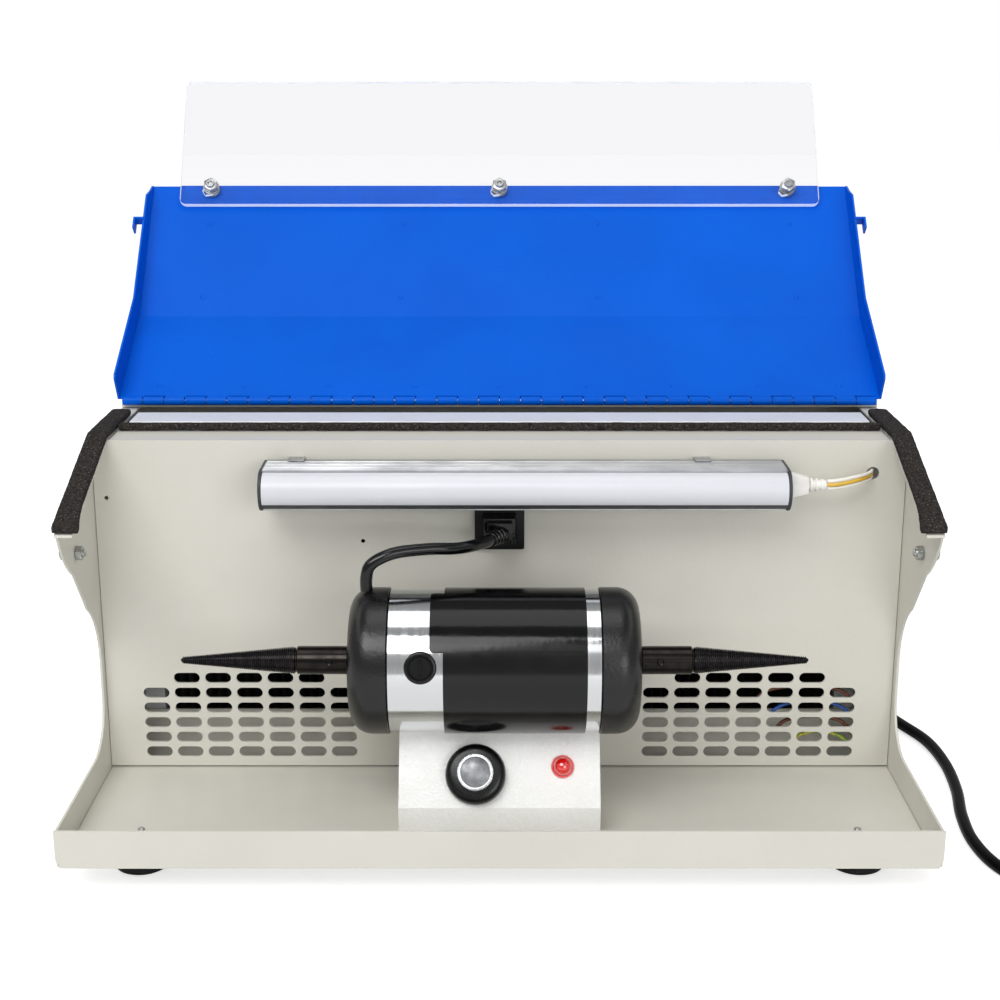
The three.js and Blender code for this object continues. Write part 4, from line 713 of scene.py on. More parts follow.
# Zinc plate: a bright grey metal with a faint cloudy bloom
zinc_plate, tree, shader = coating("zinc_plated_steel", "#B9BBBA", 0.3, 1.0)
varied(tree, shader, "#C3C5C4", "#A6A8A6", 0.004, roughness=(0.22, 0.42))
foot_profile = [
    (0.006, 0),
    (0.006, 0.005),
    (0.0006, 0.0052),
    (0, 0.0058),
    (0, 0.0129),
    (0.0008, 0.0143),
    (0.0022, 0.0149),
    (0.0036, 0.0148),
    (0.0152, 0.0127),
    (0.0162, 0.0119),
    (0.0162, 0),
]
stud_pitch = 0.0007
stud_profile = [(0.0155, 0), (0.0155, 0.0019)]
for i in range(6):
    stud_profile += [(0.0168 + stud_pitch * i, 0.002), (0.01715 + stud_pitch * i, 0.0017)]
stud_profile += [(0.0211, 0.0019), (0.0215, 0.0014), (0.0215, 0)]
for node in ("foot_front_left", "foot_front_right", "foot_rear_left", "foot_rear_right"):
    low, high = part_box(node)
    under = ((low.x + high.x) / 2, (low.y + high.y) / 2, 0)
    bumper = turned(node, foot_profile, "Z", under, 72)
    put(node + "_bumper", bumper, "case", "rubber", foot_rubber, node)
    stud = turned(node + "_stud", stud_profile, "Z", under, 32)
    put(node + "_stud", stud, "case", "fasteners", zinc_plate)

# Piano hinge: two steel leaves whose rolled knuckles interleave on one steel pin. One
# leaf is welded to the rear ledge, the other inside the hood, and both are painted blue.
blue_coat, tree, shader = coating("blue_powder_coat", "#005CD4", 0.3, Specular_IOR_Level=0.08)
# Gloss powder coat: a deep even blue whose fine grain, 1.2 mm across, breaks highlights
varied(tree, shader, "#005ED6", "#0058CC", 0.08, roughness=(0.27, 0.34))
grain(tree, shader, 0.0012, 0.00013, 3.0)
steel_pin, tree, shader = coating("bright_steel_pin", "#A9ACAE", 0.3, 1.0)
varied(tree, shader, "#B4B7B9", "#8F9294", 0.003, roughness=(0.24, 0.42))
hinge_axis = sum(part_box("hinge_pin"), Vector()) / 2
hood_tilt = math.radians(29.3)
knuckle_pitch, knuckle_count = 0.0254, 18
knuckle_radius, knuckle_bore = 0.00265, 0.00145
notch_width, notch_depth = 0.0132, 0.0051
leaf_width, leaf_thickness, knuckle_gap = 0.017, 0.001, 0.0005


def in_a_row(tree, size, piece, start):
    """Copies of a piece in a row along X, at the pitch of the row."""
    step = add(tree, "ShaderNodeCombineXYZ", {"X": size["pitch"]}).outputs[0]
    spots = add(
        tree,
        "GeometryNodeMeshLine",
        {"Count": size["count"], "Start Location": start, "Offset": step},
    ).outputs[0]
    return add(tree, "GeometryNodeInstanceOnPoints", {"Points": spots, "Instance": piece}).outputs[0]


def knuckle_row(tree, size):
    """Tubes in a row along X, each rolled from the sheet of its leaf."""
    ring = add(
        tree,
        "GeometryNodeCurvePrimitiveCircle",
        {"Resolution": 20, "Radius": size["middle_radius"]},
        mode="RADIUS",
    ).outputs[0]
    section = add(
        tree,
        "GeometryNodeCurvePrimitiveQuadrilateral",
        {"Width": size["wall"], "Height": size["length"]},
    ).outputs[0]
    tube = add(tree, "GeometryNodeCurveToMesh", {"Curve": ring, "Profile Curve": section}).outputs[0]
    lying = add(
        tree,
        "GeometryNodeTransform",
        {"Geometry": tube, "Rotation": (0, math.pi / 2, 0)},
    ).outputs[0]
    start = add(tree, "ShaderNodeCombineXYZ", {"X": size["first"]}).outputs[0]
    return in_a_row(tree, size, lying, start)


def hinge_leaf(node, body, first, tilt):
    """A leaf with its knuckles, about the pin. It lies flat where the tilt is zero."""
    start = (first + 0.5 - knuckle_count) * knuckle_pitch / 2
    knuckle = knuckle_pitch / 2 - knuckle_gap
    half = knuckle_count * knuckle_pitch / 2
    low, high = -knuckle_radius, -knuckle_radius + leaf_thickness
    bars = [((-half, notch_depth, low), (half, leaf_width, high))]
    for i in range(knuckle_count):
        middle = start + i * knuckle_pitch
        tongue = (middle - knuckle / 2, middle + knuckle / 2)
        bars.append(((tongue[0], 0.0007, low), (tongue[1], notch_depth + 0.0002, high)))
    knuckles = node_piece(
        node + "_knuckles",
        knuckle_row,
        first=start,
        pitch=knuckle_pitch,
        count=knuckle_count,
        length=knuckle,
        middle_radius=(knuckle_radius + knuckle_bore) / 2,
        wall=knuckle_radius - knuckle_bore,
        finish=blue_coat,
    )
    leaf = merged(node + "_rolled", knuckles, boxes(node + "_bars", *bars))
    leaf.transform(Matrix.Translation(hinge_axis) @ Matrix.Rotation(tilt, 4, "X"))
    eased(put(node + "_rolled", leaf, body, "hinge_paint", blue_coat, node), 0.0002)


hinge_leaf("hinge_leaf_case", "case", 1, 0.0)
hinge_leaf("hinge_leaf_hood", "hood", 0, hood_tilt)
pin_half = knuckle_count * knuckle_pitch / 2
pin_profile = [
    (-pin_half, 0),
    (-pin_half, 0.0009),
    (0.0004 - pin_half, 0.00125),
    (pin_half - 0.0004, 0.00125),
    (pin_half, 0.0009),
    (pin_half, 0),
]
put(
    "hinge_pin_drawn",
    turned("hinge_pin_drawn", pin_profile, "X", hinge_axis, 20),
    "case",
    "hinge_pin",
    steel_pin,
    "hinge_pin",
)

# Hood: one steel sheet bent in three, with a welded flange at each side that carries a
# J shaped catch. Its paint lies in a soft edge over every bend and corner. Its lower edge
# is notched over each knuckle of the case's leaf.
def cut_out(body, tool, name):
    """A closed mesh with another one taken away from it."""
    holders = [bpy.data.objects.new(name + end, made) for end, made in (("_a", body), ("_b", tool))]
    for holder in holders:
        scene.collection.objects.link(holder)
    trim = holders[0].modifiers.new("cut", "BOOLEAN")
    trim.operation = "DIFFERENCE"
    trim.object = holders[1]
    trim.solver = "EXACT"
    made = applied(holders[0], name)
    bpy.data.objects.remove(holders[1])
    made.shade_smooth()
    made.set_sharp_from_angle(angle=math.radians(35))
    return made


hood_place = Matrix.Translation(hinge_axis) @ Matrix.Rotation(hood_tilt, 4, "X")
hood_shell = coated("hood_panel", "hood", "hood_paint", blue_coat, 0.0006, 12)
notches = boxes(
    "notches",
    *(
        (
            (middle - notch_width / 2, -knuckle_radius, -knuckle_radius),
            (middle + notch_width / 2, notch_depth, knuckle_radius),
        )
        for middle in ((i - knuckle_count / 2 + 0.75) * knuckle_pitch for i in range(knuckle_count))
    ),
)
notches.transform(hood_place)
hood_shell.data = cut_out(hood_shell.data.copy(), notches, "hood_panel_notched")

# Spot welds of the stiffeners behind it show through the paint as shallow round marks
hood_bend, bend_up = math.radians(18.6), 0.0825
hood_face = -0.00035
bend_place = (
    hood_place @ Matrix.Translation((0, bend_up, hood_face)) @ Matrix.Rotation(hood_bend, 4, "X")
)


def weld_row(tree, size):
    """A row of shallow round marks along X, flat in Z."""
    dome = add(
        tree,
        "GeometryNodeMeshUVSphere",
        {"Segments": 24, "Rings": 12, "Radius": size["radius"]},
    ).outputs[0]
    flat = add(tree, "ShaderNodeCombineXYZ", {"X": 1.0, "Y": 1.0, "Z": size["rise"]}).outputs[0]
    mark = add(tree, "GeometryNodeTransform", {"Geometry": dome, "Scale": flat}).outputs[0]
    start = add(tree, "ShaderNodeCombineXYZ", {"X": size["first"], "Y": size["up"]}).outputs[0]
    return in_a_row(tree, size, mark, start)


form = bmesh.new()
for name, place, first, up, pitch, count, radius in (
    ("hinge_row", hood_place @ Matrix.Translation((0, 0, hood_face)), -0.2085, 0.0142, 0.0521, 9, 0.0016),
    ("lower_row", bend_place, -0.1915, 0.0151, 0.1277, 4, 0.0019),
    ("upper_row", bend_place, -0.1915, 0.0731, 0.1277, 4, 0.0019),
):
    row = node_piece(
        name,
        weld_row,
        first=first,
        up=up,
        pitch=pitch,
        count=count,
        radius=radius,
        rise=0.3,
        finish=blue_coat,
    )
    row.transform(place)
    form.from_mesh(row)
weld_marks = mesh_of(form, "weld_marks")
weld_marks.shade_smooth()
put("weld_marks", weld_marks, "hood", "hood_paint", blue_coat)

# Shield: clear cast acrylic, 4 mm thick, with polished edges and three slots. Cast sheet
# is water clear, and its cut edges are drawn white with a painted glow.
clear_acrylic, tree, shader = coating(
    "clear_cast_acrylic", "#F7F7F9", 0.02, Transmission_Weight=1.0, IOR=1.3
)
# Wiping has left hairline marks along the sheet, which only change its gloss
place = add(tree, "ShaderNodeTexCoord").outputs["Object"]
along = add(tree, "ShaderNodeMapping", {"Vector": place, "Scale": (1, 12, 12)}).outputs["Vector"]
wipes = add(tree, "ShaderNodeTexNoise", {"Vector": along, "Scale": 60.0, "Detail": 5.0})
gloss = add(
    tree,
    "ShaderNodeMapRange",
    {"Value": wipes.outputs["Fac"], "From Min": 0.5, "From Max": 0.8, "To Min": 0.01, "To Max": 0.07},
)
tree.links.new(gloss.outputs["Result"], shader.inputs["Roughness"])
# Painted glow: the edges give off an even pale light, standing in for light run along inside the sheet
edge_painted_glow, tree, shader = coating(
    "painted_glow_edge", "#EEF2F4", 0.12, Emission_Color=(0.9, 0.95, 1, 1), Emission_Strength=0.35
)
varied(tree, shader, "#F4F7F8", "#DDE4E8", 0.02, roughness=(0.08, 0.2))
lip_angle = math.radians(28.7)
sheet_normal = (hood_place.to_3x3() @ Matrix.Rotation(lip_angle, 3, "X")) @ Vector((0, 0, 1))
shield = coated("shield", "hood", "shield", clear_acrylic, 0.0004)
shield.data.materials.append(edge_painted_glow)
# Faces across the sheet's thickness take the painted glow
for face in shield.data.polygons:
    face.material_index = int(abs(face.normal.dot(sheet_normal)) < 0.7)

# Shield bolts: zinc plated M6 bolts with six sided heads, each with a washer on both
# sides of the acrylic and a nut in front
lip_middle = Vector((0, 0.176016, 0.031816))
lip_place = (
    hood_place @ Matrix.Translation(lip_middle) @ Matrix.Rotation(lip_angle - math.pi / 2, 4, "X")
)
# The corner of a hexagon that is 8.6 mm across its flats
hexagon = 0.0086 / math.sqrt(3)
nut_profile = [
    (-0.0108, 0.0025),
    (-0.0108, 0.0040),
    (-0.0103, hexagon),
    (-0.0072, hexagon),
    (-0.0068, 0.0042),
    (-0.0068, 0.0025),
    (-0.0108, 0.0025),
]
head_profile = [(0.0015, 0), (0.0015, hexagon), (0.005, hexagon), (0.0055, 0.0049), (0.0055, 0)]
bolt_pitch = 0.001
shank_profile = [(0.0018, 0), (0.0018, 0.0029), (-0.0060, 0.0029)]
for i in range(6):
    shank_profile += [(-0.0063 - bolt_pitch * i, 0.003), (-0.0068 - bolt_pitch * i, 0.0025)]
shank_profile += [(-0.0122, 0.0024), (-0.0122, 0.0016), (-0.0108, 0.0014), (-0.0108, 0)]
rear_washer = [(-0.0016, 0.0031), (-0.0016, 0.0049), (-0.0003, 0.0049), (-0.0003, 0.0031)]
rear_washer.append(rear_washer[0])
front_washer = [(-0.0067, 0.003), (-0.0067, 0.0053), (-0.0060, 0.0053), (-0.0060, 0.003)]
front_washer.append(front_washer[0])
for node in ("shield_bolt_left", "shield_bolt_middle", "shield_bolt_right"):
    across = sum(corner.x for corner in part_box(node)) / 2
    bolt = merged(
        node + "_set",
        *(
            turned(kind, profile, "Y", (across, 0, 0), steps)
            for kind, profile, steps in (
                ("nut", nut_profile, 6),
                ("head", head_profile, 6),
                ("shank", shank_profile, 24),
                ("rear_washer", rear_washer, 32),
                ("front_washer", front_washer, 40),
            )
        ),
    )
    bolt.transform(lip_place)
    eased(put(node + "_set", bolt, "hood", "fasteners", zinc_plate, node), 0.00015, 40)

# Latches: a shoulder screw in each wing carries a flat link, whose eye swings up beside
# the hood's catch when the hood is closed. Both are zinc plated steel.
def mirrored(profile, side):
    """The profile itself for the right side, and its mirror image for the left."""
    return [(side * along, radius) for along, radius in profile]


sides = ((-1, "left"), (1, "right"))
screw_profile = [
    (0.22325, 0),
    (0.22325, 0.0015),
    (0.2238, 0.002),
    (0.22500, 0.002),
    (0.22500, 0.0039),
    (0.2281, 0.0039),
    (0.2281, 0.002),
    (0.2303, 0.002),
    (0.2303, 0.0035),
    (0.2329, 0.0035),
    (0.2329, 0.002),
    (0.2351, 0.002),
    (0.2351, 0.0042),
    (0.2363, 0.0041),
    (0.2370, 0.0034),
    (0.2375, 0.0021),
    (0.2375, 0),
]
for side, name in sides:
    low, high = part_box("latch_screw_" + name)
    pivot = Vector((0, (low.y + high.y) / 2, (low.z + high.z) / 2))
    screw = turned(name, mirrored(screw_profile, side), "X", pivot, 40)
    put("latch_screw_" + name + "_turned", screw, "case", "fasteners", zinc_plate, "latch_screw_" + name)
    coated("latch_link_" + name, "latch_" + name, "fasteners", zinc_plate, 0.0003)

# Filter cassette: an aluminium channel frame round a pleated paper that the fans draw
# the dust through. It stands in the channel of the tray and lifts out at the top.
silver_anodised, tree, shader = coating("silver_anodised_channel", "#E2E4E6", 0.5, 0.2)
# Anodising leaves a pale even silver with the faint long lines of the extrusion
varied(tree, shader, "#E6E8EA", "#DADCDF", 0.03, roughness=(0.46, 0.56))
grain(tree, shader, 0.0006, 0.00002, 2.0, (0.02, 1, 1))
coated("filter_frame", "filter", "filter_frame", silver_anodised, 0.0008)
filter_paper, tree, shader = coating("carbon_filter_paper", "#232221", 0.92)
# Felted charcoal fibres, with a little grey dust settled in the pleats
varied(tree, shader, "#1D1C1B", "#353331", 0.03)
grain(tree, shader, 0.0008, 0.0002, 4.0)
low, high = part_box("filter_media")
pleats, paper_thickness, side_gap = 72, 0.0006, 0.0004
form = bmesh.new()
rows = []
for i in range(2 * pleats + 1):
    across = low.x + side_gap + (high.x - low.x - 2 * side_gap) * i / (2 * pleats)
    deep = low.y + paper_thickness if i % 2 else high.y - paper_thickness
    rows.append([form.verts.new((across, deep, low.z)), form.verts.new((across, deep, high.z))])
for (a, b), (c, d) in zip(rows, rows[1:]):
    form.faces.new((a, c, d, b))
folded = mesh_of(form, "filter_pleats")
filter_pleats = put("filter_pleats", folded, "filter", "filter_mat", filter_paper, "filter_media")
paper = filter_pleats.modifiers.new("paper", "SOLIDIFY")
paper.thickness = paper_thickness
paper.offset = 0

# Exhaust fans: moulded frames with four struts that carry the motor plate, and impellers
# with seven twisted blades. Glass filled nylon is a dull grey black with a fine grain.
fan_nylon, tree, shader = coating("glass_filled_nylon", "#131415", 0.5, Specular_IOR_Level=0.35)
varied(tree, shader, "#161718", "#101112", 0.01, roughness=(0.42, 0.58))
grain(tree, shader, 0.0007, 0.00004)
for side in ("left", "right"):
    coated("fan_frame_" + side, "case", "fan_plastic", fan_nylon, 0.0005)
    coated("fan_impeller_" + side, "fan_" + side, "fan_plastic", fan_nylon, 0.0003)

# Tube lamp: an extruded aluminium tray with ribbed top and bottom, closed by two moulded
# end caps, that hangs on the wall in two spring clips.
def drawn_bar(name, outline, left, right):
    """A bar along X with an outline of (depth, height) corners."""
    form = bmesh.new()
    ends = [[form.verts.new((x, y, z)) for y, z in outline] for x in (left, right)]
    form.faces.new(ends[0])
    form.faces.new(ends[1])
    for i, low in enumerate(ends[0]):
        k = (i + 1) % len(outline)
        form.faces.new((low, ends[0][k], ends[1][k], ends[1][i]))
    bmesh.ops.recalc_face_normals(form, faces=form.faces)
    return mesh_of(form, name)


lamp_low, lamp_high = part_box("lamp_body")
lamp_middle = (lamp_low.z + lamp_high.z) / 2
lamp_half = (lamp_high.z - lamp_low.z) / 2
tray_depth = 0.024
lamp_back, lamp_face = lamp_high.y, lamp_high.y - tray_depth
rib_pitch, rib_depth = 0.0034, 0.0006
ribs = []
for i in range(6):
    start = lamp_back - 0.0012 - i * rib_pitch
    ribs += [
        (start, lamp_half),
        (start - 0.0019, lamp_half),
        (start - 0.0022, lamp_half - rib_depth),
        (start - 0.0031, lamp_half - rib_depth),
    ]
upper = [(y, lamp_middle + z) for y, z in [(lamp_back, lamp_half), *ribs, (lamp_face, lamp_half)]]
lower = [(y, 2 * lamp_middle - z) for y, z in reversed(upper)]
# The tray reaches 0.3 mm into both caps
lamp_cap, cap_overlap = 0.0017, 0.0003
tray_left, tray_right = lamp_low.x + lamp_cap - cap_overlap, lamp_high.x - lamp_cap + cap_overlap
lamp_tray = drawn_bar("lamp_tray", upper + lower, tray_left, tray_right)
# Extruded aluminium: bright and satin, its long lines drawn at 0.5 mm so that they show
mill_aluminium, tree, shader = coating("extruded_aluminium", "#B9BBBE", 0.36, 1.0)
varied(tree, shader, "#BEC0C3", "#A9ABAE", 0.02, roughness=(0.3, 0.44))
grain(tree, shader, 0.0005, 0.00002, 2.0, (0.02, 1, 1))
lamp_piece = put("lamp_tray", lamp_tray, "case", "lamp_body", mill_aluminium, "lamp_body")
eased(lamp_piece, 0.00025)


def front_arc(back, reach, half, steps=24):
    """The round front of the lamp, from its lower to its upper edge."""
    turns = [math.pi * (i / steps - 0.5) for i in range(steps + 1)]
    return [(back - reach * math.cos(t), lamp_middle + half * math.sin(t)) for t in turns]


# End caps: thin plates of dark grey ABS, satin from the mould, a little proud of the tube
# The same grey also paints shade on the lower band of the diffuser
grey_abs_and_edge_shade, tree, shader = coating("grey_abs_caps", "#3C3E42", 0.45, Specular_IOR_Level=0.3)
varied(tree, shader, "#404246", "#383A3E", 0.01, roughness=(0.4, 0.52))
grain(tree, shader, 0.0008, 0.00003)
cap_outline = [
    (lamp_back, lamp_middle + lamp_half),
    *reversed(front_arc(lamp_face + 0.0012, 0.0107, lamp_half)),
    (lamp_back, lamp_middle - lamp_half),
]
for name, left, right in (
    ("lamp_cap_left", lamp_low.x, lamp_low.x + lamp_cap),
    ("lamp_cap_right", lamp_high.x - lamp_cap, lamp_high.x),
):
    cap = put(name, drawn_bar(name, cap_outline, left, right), "case", "lamp_body", grey_abs_and_edge_shade)
    eased(cap, 0.0003)

# Diffuser: opal polycarbonate over the tubes. It is white through and through, with a
# soft gloss that draws one highlight along its upper half.
opal, tree, shader = coating(
    "opal_polycarbonate",
    "#D6D8DE",
    0.32,
    Subsurface_Weight=0.15,
    Subsurface_Radius=(0.002, 0.002, 0.002),
)
varied(tree, shader, "#D8DAE0", "#D3D5DB", 0.06, roughness=(0.29, 0.35))
diffuser_low, diffuser_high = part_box("lamp_diffuser")
diffuser_half = lamp_half - 0.0012
diffuser_back = lamp_face - 0.0003
diffuser_reach = diffuser_high.y - diffuser_low.y
diffuser_outline = [
    (diffuser_back, lamp_middle + diffuser_half),
    *reversed(front_arc(diffuser_back, diffuser_reach, diffuser_half)[1:-1]),
    (diffuser_back, lamp_middle - diffuser_half),
]
cap_gap = 0.0002
opal_left, opal_right = lamp_low.x + lamp_cap + cap_gap, lamp_high.x - lamp_cap - cap_gap
diffuser = drawn_bar("opal_diffuser", diffuser_outline, opal_left, opal_right)
diffuser.shade_smooth()
diffuser.set_sharp_from_angle(angle=math.radians(40))
opal_piece = put("opal_diffuser", diffuser, "case", "diffuser", opal, "lamp_diffuser")
# Its lower band takes the grey of the caps as painted shade along the lamp's lower edge
opal_piece.data.materials.append(grey_abs_and_edge_shade)
for face in opal_piece.data.polygons:
    face.material_index = int(face.center.z < lamp_middle - 0.6 * diffuser_half)
eased(opal_piece, 0.0003, 50)

# Spring clips: bent from stainless strip and riveted to the wall
spring_steel, tree, shader = coating("stainless_spring_strip", "#B5B6B8", 0.34, 1.0)
varied(tree, shader, "#BDBEC0", "#9C9DA0", 0.003, roughness=(0.28, 0.42))
for side in ("left", "right"):
    coated("lamp_clip_" + side, "case", "fasteners", spring_steel, 0.00015)

# Lamp plug: a white nylon housing with a collar where its wires leave
white_nylon, tree, shader = coating("white_nylon", "#F1F0EC", 0.42)
varied(tree, shader, "#F3F2EF", "#E8E6E0", 0.008, roughness=(0.36, 0.5))
grain(tree, shader, 0.0009, 0.00003)
plug_low, plug_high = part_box("lamp_plug")
plug_middle = (plug_low + plug_high) / 2


def skinned(form, rings):
    """Faces between rings of four corners, and over both ends."""
    for low, high in zip(rings, rings[1:]):
        for k in range(4):
            form.faces.new((low[k], low[(k + 1) % 4], high[(k + 1) % 4], high[k]))
    form.faces.new(rings[0])
    form.faces.new(rings[-1])
    bmesh.ops.recalc_face_normals(form, faces=form.faces)


# The housing narrows from the lamp to the collar, which has three ribs
housing = bmesh.new()
housing_ends = []
for along, tall, deep in ((0, 0.0066, 0.004), (0.0035, 0.0064, 0.004), (0.0118, 0.0042, 0.0034)):
    housing_ends.append(
        [
            housing.verts.new(
                (plug_low.x + along, plug_middle.y + deep * turn_y, plug_middle.z + tall * turn_z)
            )
            for turn_y, turn_z in ((-1, -1), (1, -1), (1, 1), (-1, 1))
        ]
    )
skinned(housing, housing_ends)
tapered_housing = mesh_of(housing, "lamp_plug_housing")
relief_profile = [(0.0112, 0), (0.0112, 0.0026), (0.0122, 0.0026)]
for i in range(3):
    on, less = 0.0030 * i, 0.0003 * i
    relief_profile += [
        (0.0126 + on, 0.0039 - less),
        (0.0141 + on, 0.0039 - less),
        (0.0144 + on, 0.0026),
        (0.0152 + on, 0.0026),
    ]
relief_profile += [(0.0217, 0.0025), (0.0217, 0)]
relief = turned("relief", relief_profile, "X", (plug_low.x, plug_middle.y, plug_middle.z), 32)
lamp_plug = put(
    "lamp_plug_moulded",
    merged("lamp_plug_moulded", tapered_housing, relief),
    "case",
    "white_plastic",
    white_nylon,
    "lamp_plug",
)
eased(lamp_plug, 0.0006)

# Motor outlet: a snap-in socket of black thermoplastic, and the plug of the motor's lead
# with its angled boot. The moulded faces are satin with a fine spark texture.
black_thermoplastic, tree, shader = coating(
    "black_thermoplastic", "#0A0B0C", 0.36, Specular_IOR_Level=0.32
)
varied(tree, shader, "#0C0D0E", "#08090A", 0.008, roughness=(0.32, 0.42))
grain(tree, shader, 0.0008, 0.00004)
coated("motor_outlet", "case", "black_plastic", black_thermoplastic, 0.0007)
plug_body = boxes(
    "plug_body",
    ((-0.0088, -0.0852, 0.1596), (0.0088, -0.06468, 0.1744)),
    ((-0.0066, -0.0887, 0.1606), (0.0072, -0.0840, 0.1726)),
)
boot_profile = [(0.0025, 0), (0.0025, 0.0050), (0.0, 0.0050)]
for i in range(3):
    on, less = i * 0.0028, i * 0.0003
    boot_profile += [
        (-0.0012 - on, 0.0049 - less),
        (-0.0016 - on, 0.0043 - less),
        (-0.0024 - on, 0.0043 - less),
        (-0.0028 - on, 0.0047 - less),
    ]
boot_profile += [(-0.0098, 0.0040), (-0.0100, 0.0036), (-0.0100, 0)]
boot = turned("boot", boot_profile, "Y", (0, 0, 0), 32)
boot_at, boot_turn = (0, -0.08868, 0.16575), math.radians(-30)
boot.transform(Matrix.Translation(boot_at) @ Matrix.Rotation(boot_turn, 4, "Z"))
motor_plug = put(
    "motor_plug_moulded",
    merged("motor_plug_moulded", plug_body, boot),
    "case",
    "rubber",
    glossy_rubber,
    "motor_plug",
)
eased(motor_plug, 0.0016, 50, 4)

# Motor: a polished steel can between two black end caps. Drawn and chrome plated, it
# mirrors the room in long bands, with the faintest lines of polishing round it.
motor_at = Vector((-0.0026, -0.134876, 0.1095))
polished_chrome, tree, shader = coating("polished_chrome", "#D9DBDD", 0.07, 1.0)
place = add(tree, "ShaderNodeTexCoord").outputs["Object"]
around = add(tree, "ShaderNodeMapping", {"Vector": place, "Scale": (1, 0.03, 0.03)}).outputs["Vector"]
lines = add(tree, "ShaderNodeTexNoise", {"Vector": around, "Scale": 900.0, "Detail": 3.0})
blur = add(
    tree,
    "ShaderNodeMapRange",
    {"Value": lines.outputs["Fac"], "From Min": 0.3, "From Max": 0.7, "To Min": 0.05, "To Max": 0.16},
)
tree.links.new(blur.outputs["Result"], shader.inputs["Roughness"])
ripple = add(tree, "ShaderNodeTexNoise", {"Vector": place, "Scale": 45.0, "Detail": 1.0})
waves = add(tree, "ShaderNodeBump", {"Height": ripple.outputs["Fac"], "Distance": 0.00012})
tree.links.new(waves.outputs["Normal"], shader.inputs["Normal"])
can_half, can_radius, can_wall = 0.0557, 0.0382, 0.0026
can_profile = [
    (-can_half, can_radius - can_wall),
    (-can_half, can_radius - 0.0004),
    (-can_half + 0.0004, can_radius),
    (can_half - 0.0004, can_radius),
    (can_half, can_radius - 0.0004),
    (can_half, can_radius - can_wall),
    (-can_half, can_radius - can_wall),
]
put(
    "motor_can_drawn",
    turned("motor_can_drawn", can_profile, "X", motor_at, 160),
    "case",
    "chrome_can",
    polished_chrome,
    "motor_can",
)


# Field magnets: two curved ferrite blocks glued inside the can
def curved_plate(name, radius, thick, middle, spread, left, right, steps=40):
    """A plate bent about the motor's axis. Angles run up from the front."""
    form = bmesh.new()
    rows = []
    for i in range(steps + 1):
        turn = middle + spread * (2 * i / steps - 1)
        rows.append(
            [
                form.verts.new(
                    motor_at + Vector((x, -reach * math.cos(turn), reach * math.sin(turn)))
                )
                for reach, x in (
                    (radius, left),
                    (radius + thick, left),
                    (radius + thick, right),
                    (radius, right),
                )
            ]
        )
    skinned(form, rows)
    return mesh_of(form, name, 35)


ferrite, tree, shader = coating("sintered_ferrite", "#3B3A3C", 0.7)
varied(tree, shader, "#3F3E40", "#313032", 0.006, roughness=(0.6, 0.8))
magnet_reach, magnet_half, magnet_spread = can_radius - can_wall - 0.008, 0.029, math.radians(55)
put(
    "field_magnets",
    merged(
        "field_magnets",
        *(
            curved_plate("magnet", magnet_reach, 0.0081, turn, magnet_spread, -magnet_half, magnet_half)
            for turn in (math.pi / 2, -math.pi / 2)
        ),
    ),
    "case",
    "black_plastic",
    ferrite,
)

# Band and label: a black strip round the can, and on its front a label of black foil with
# rounded corners, left bare. The foil is glossier than the strip.
band_foil, tree, shader = coating("black_polyester_strip", "#050506", 0.16, Specular_IOR_Level=0.4)
varied(tree, shader, "#060607", "#040405", 0.01, roughness=(0.13, 0.2))
band_left, band_right, band_radius = -0.0266, 0.0481, 0.039
band_profile = [
    (band_left, can_radius + 0.0002),
    (band_left, band_radius - 0.0002),
    (band_left + 0.0002, band_radius),
    (band_right - 0.0002, band_radius),
    (band_right, band_radius - 0.0002),
    (band_right, can_radius + 0.0002),
    (band_left, can_radius + 0.0002),
]
put(
    "motor_band_strip",
    turned("motor_band_strip", band_profile, "X", motor_at, 160),
    "case",
    "black_plastic",
    band_foil,
    "motor_band",
)
label_foil, tree, shader = coating("bare_black_label_foil", "#040405", 0.12, Specular_IOR_Level=0.3)
varied(tree, shader, "#050506", "#030303", 0.015, roughness=(0.1, 0.15))
grain(tree, shader, 0.004, 0.00003)
label_left, label_right = -0.0337, 0.0481
label_low, label_high = math.radians(26), math.radians(84)
label_radius, label_corner, label_thickness = 0.0391, 0.0025, 0.00014
arc_low, arc_high = label_low * label_radius, label_high * label_radius
outline = []
for centre_x, centre_arc, start in (
    (label_right - label_corner, arc_high - label_corner, 0),
    (label_left + label_corner, arc_high - label_corner, 90),
    (label_left + label_corner, arc_low + label_corner, 180),
    (label_right - label_corner, arc_low + label_corner, 270),
):
    for i in range(7):
        turn = math.radians(start + 15 * i)
        outline.append(
            (centre_x + label_corner * math.cos(turn), centre_arc + label_corner * math.sin(turn))
        )
form = bmesh.new()
form.faces.new([form.verts.new((x, arc, 0)) for x, arc in outline])
cuts = 44
for i in range(1, cuts):
    at = arc_low + (arc_high - arc_low) * i / cuts
    bmesh.ops.bisect_plane(
        form,
        geom=form.verts[:] + form.edges[:] + form.faces[:],
        plane_co=(0, at, 0),
        plane_no=(0, 1, 0),
    )
skin = bmesh.ops.extrude_face_region(form, geom=form.faces[:])
for spot in skin["geom"]:
    if isinstance(spot, bmesh.types.BMVert):
        spot.co.z += label_thickness
for spot in form.verts:
    turn = spot.co.y / label_radius
    reach = label_radius + spot.co.z
    spot.co = motor_at + Vector((spot.co.x, -reach * math.cos(turn), reach * math.sin(turn)))
bmesh.ops.recalc_face_normals(form, faces=form.faces)
put("bare_label", mesh_of(form, "bare_label", 35), "case", "black_plastic", label_foil)

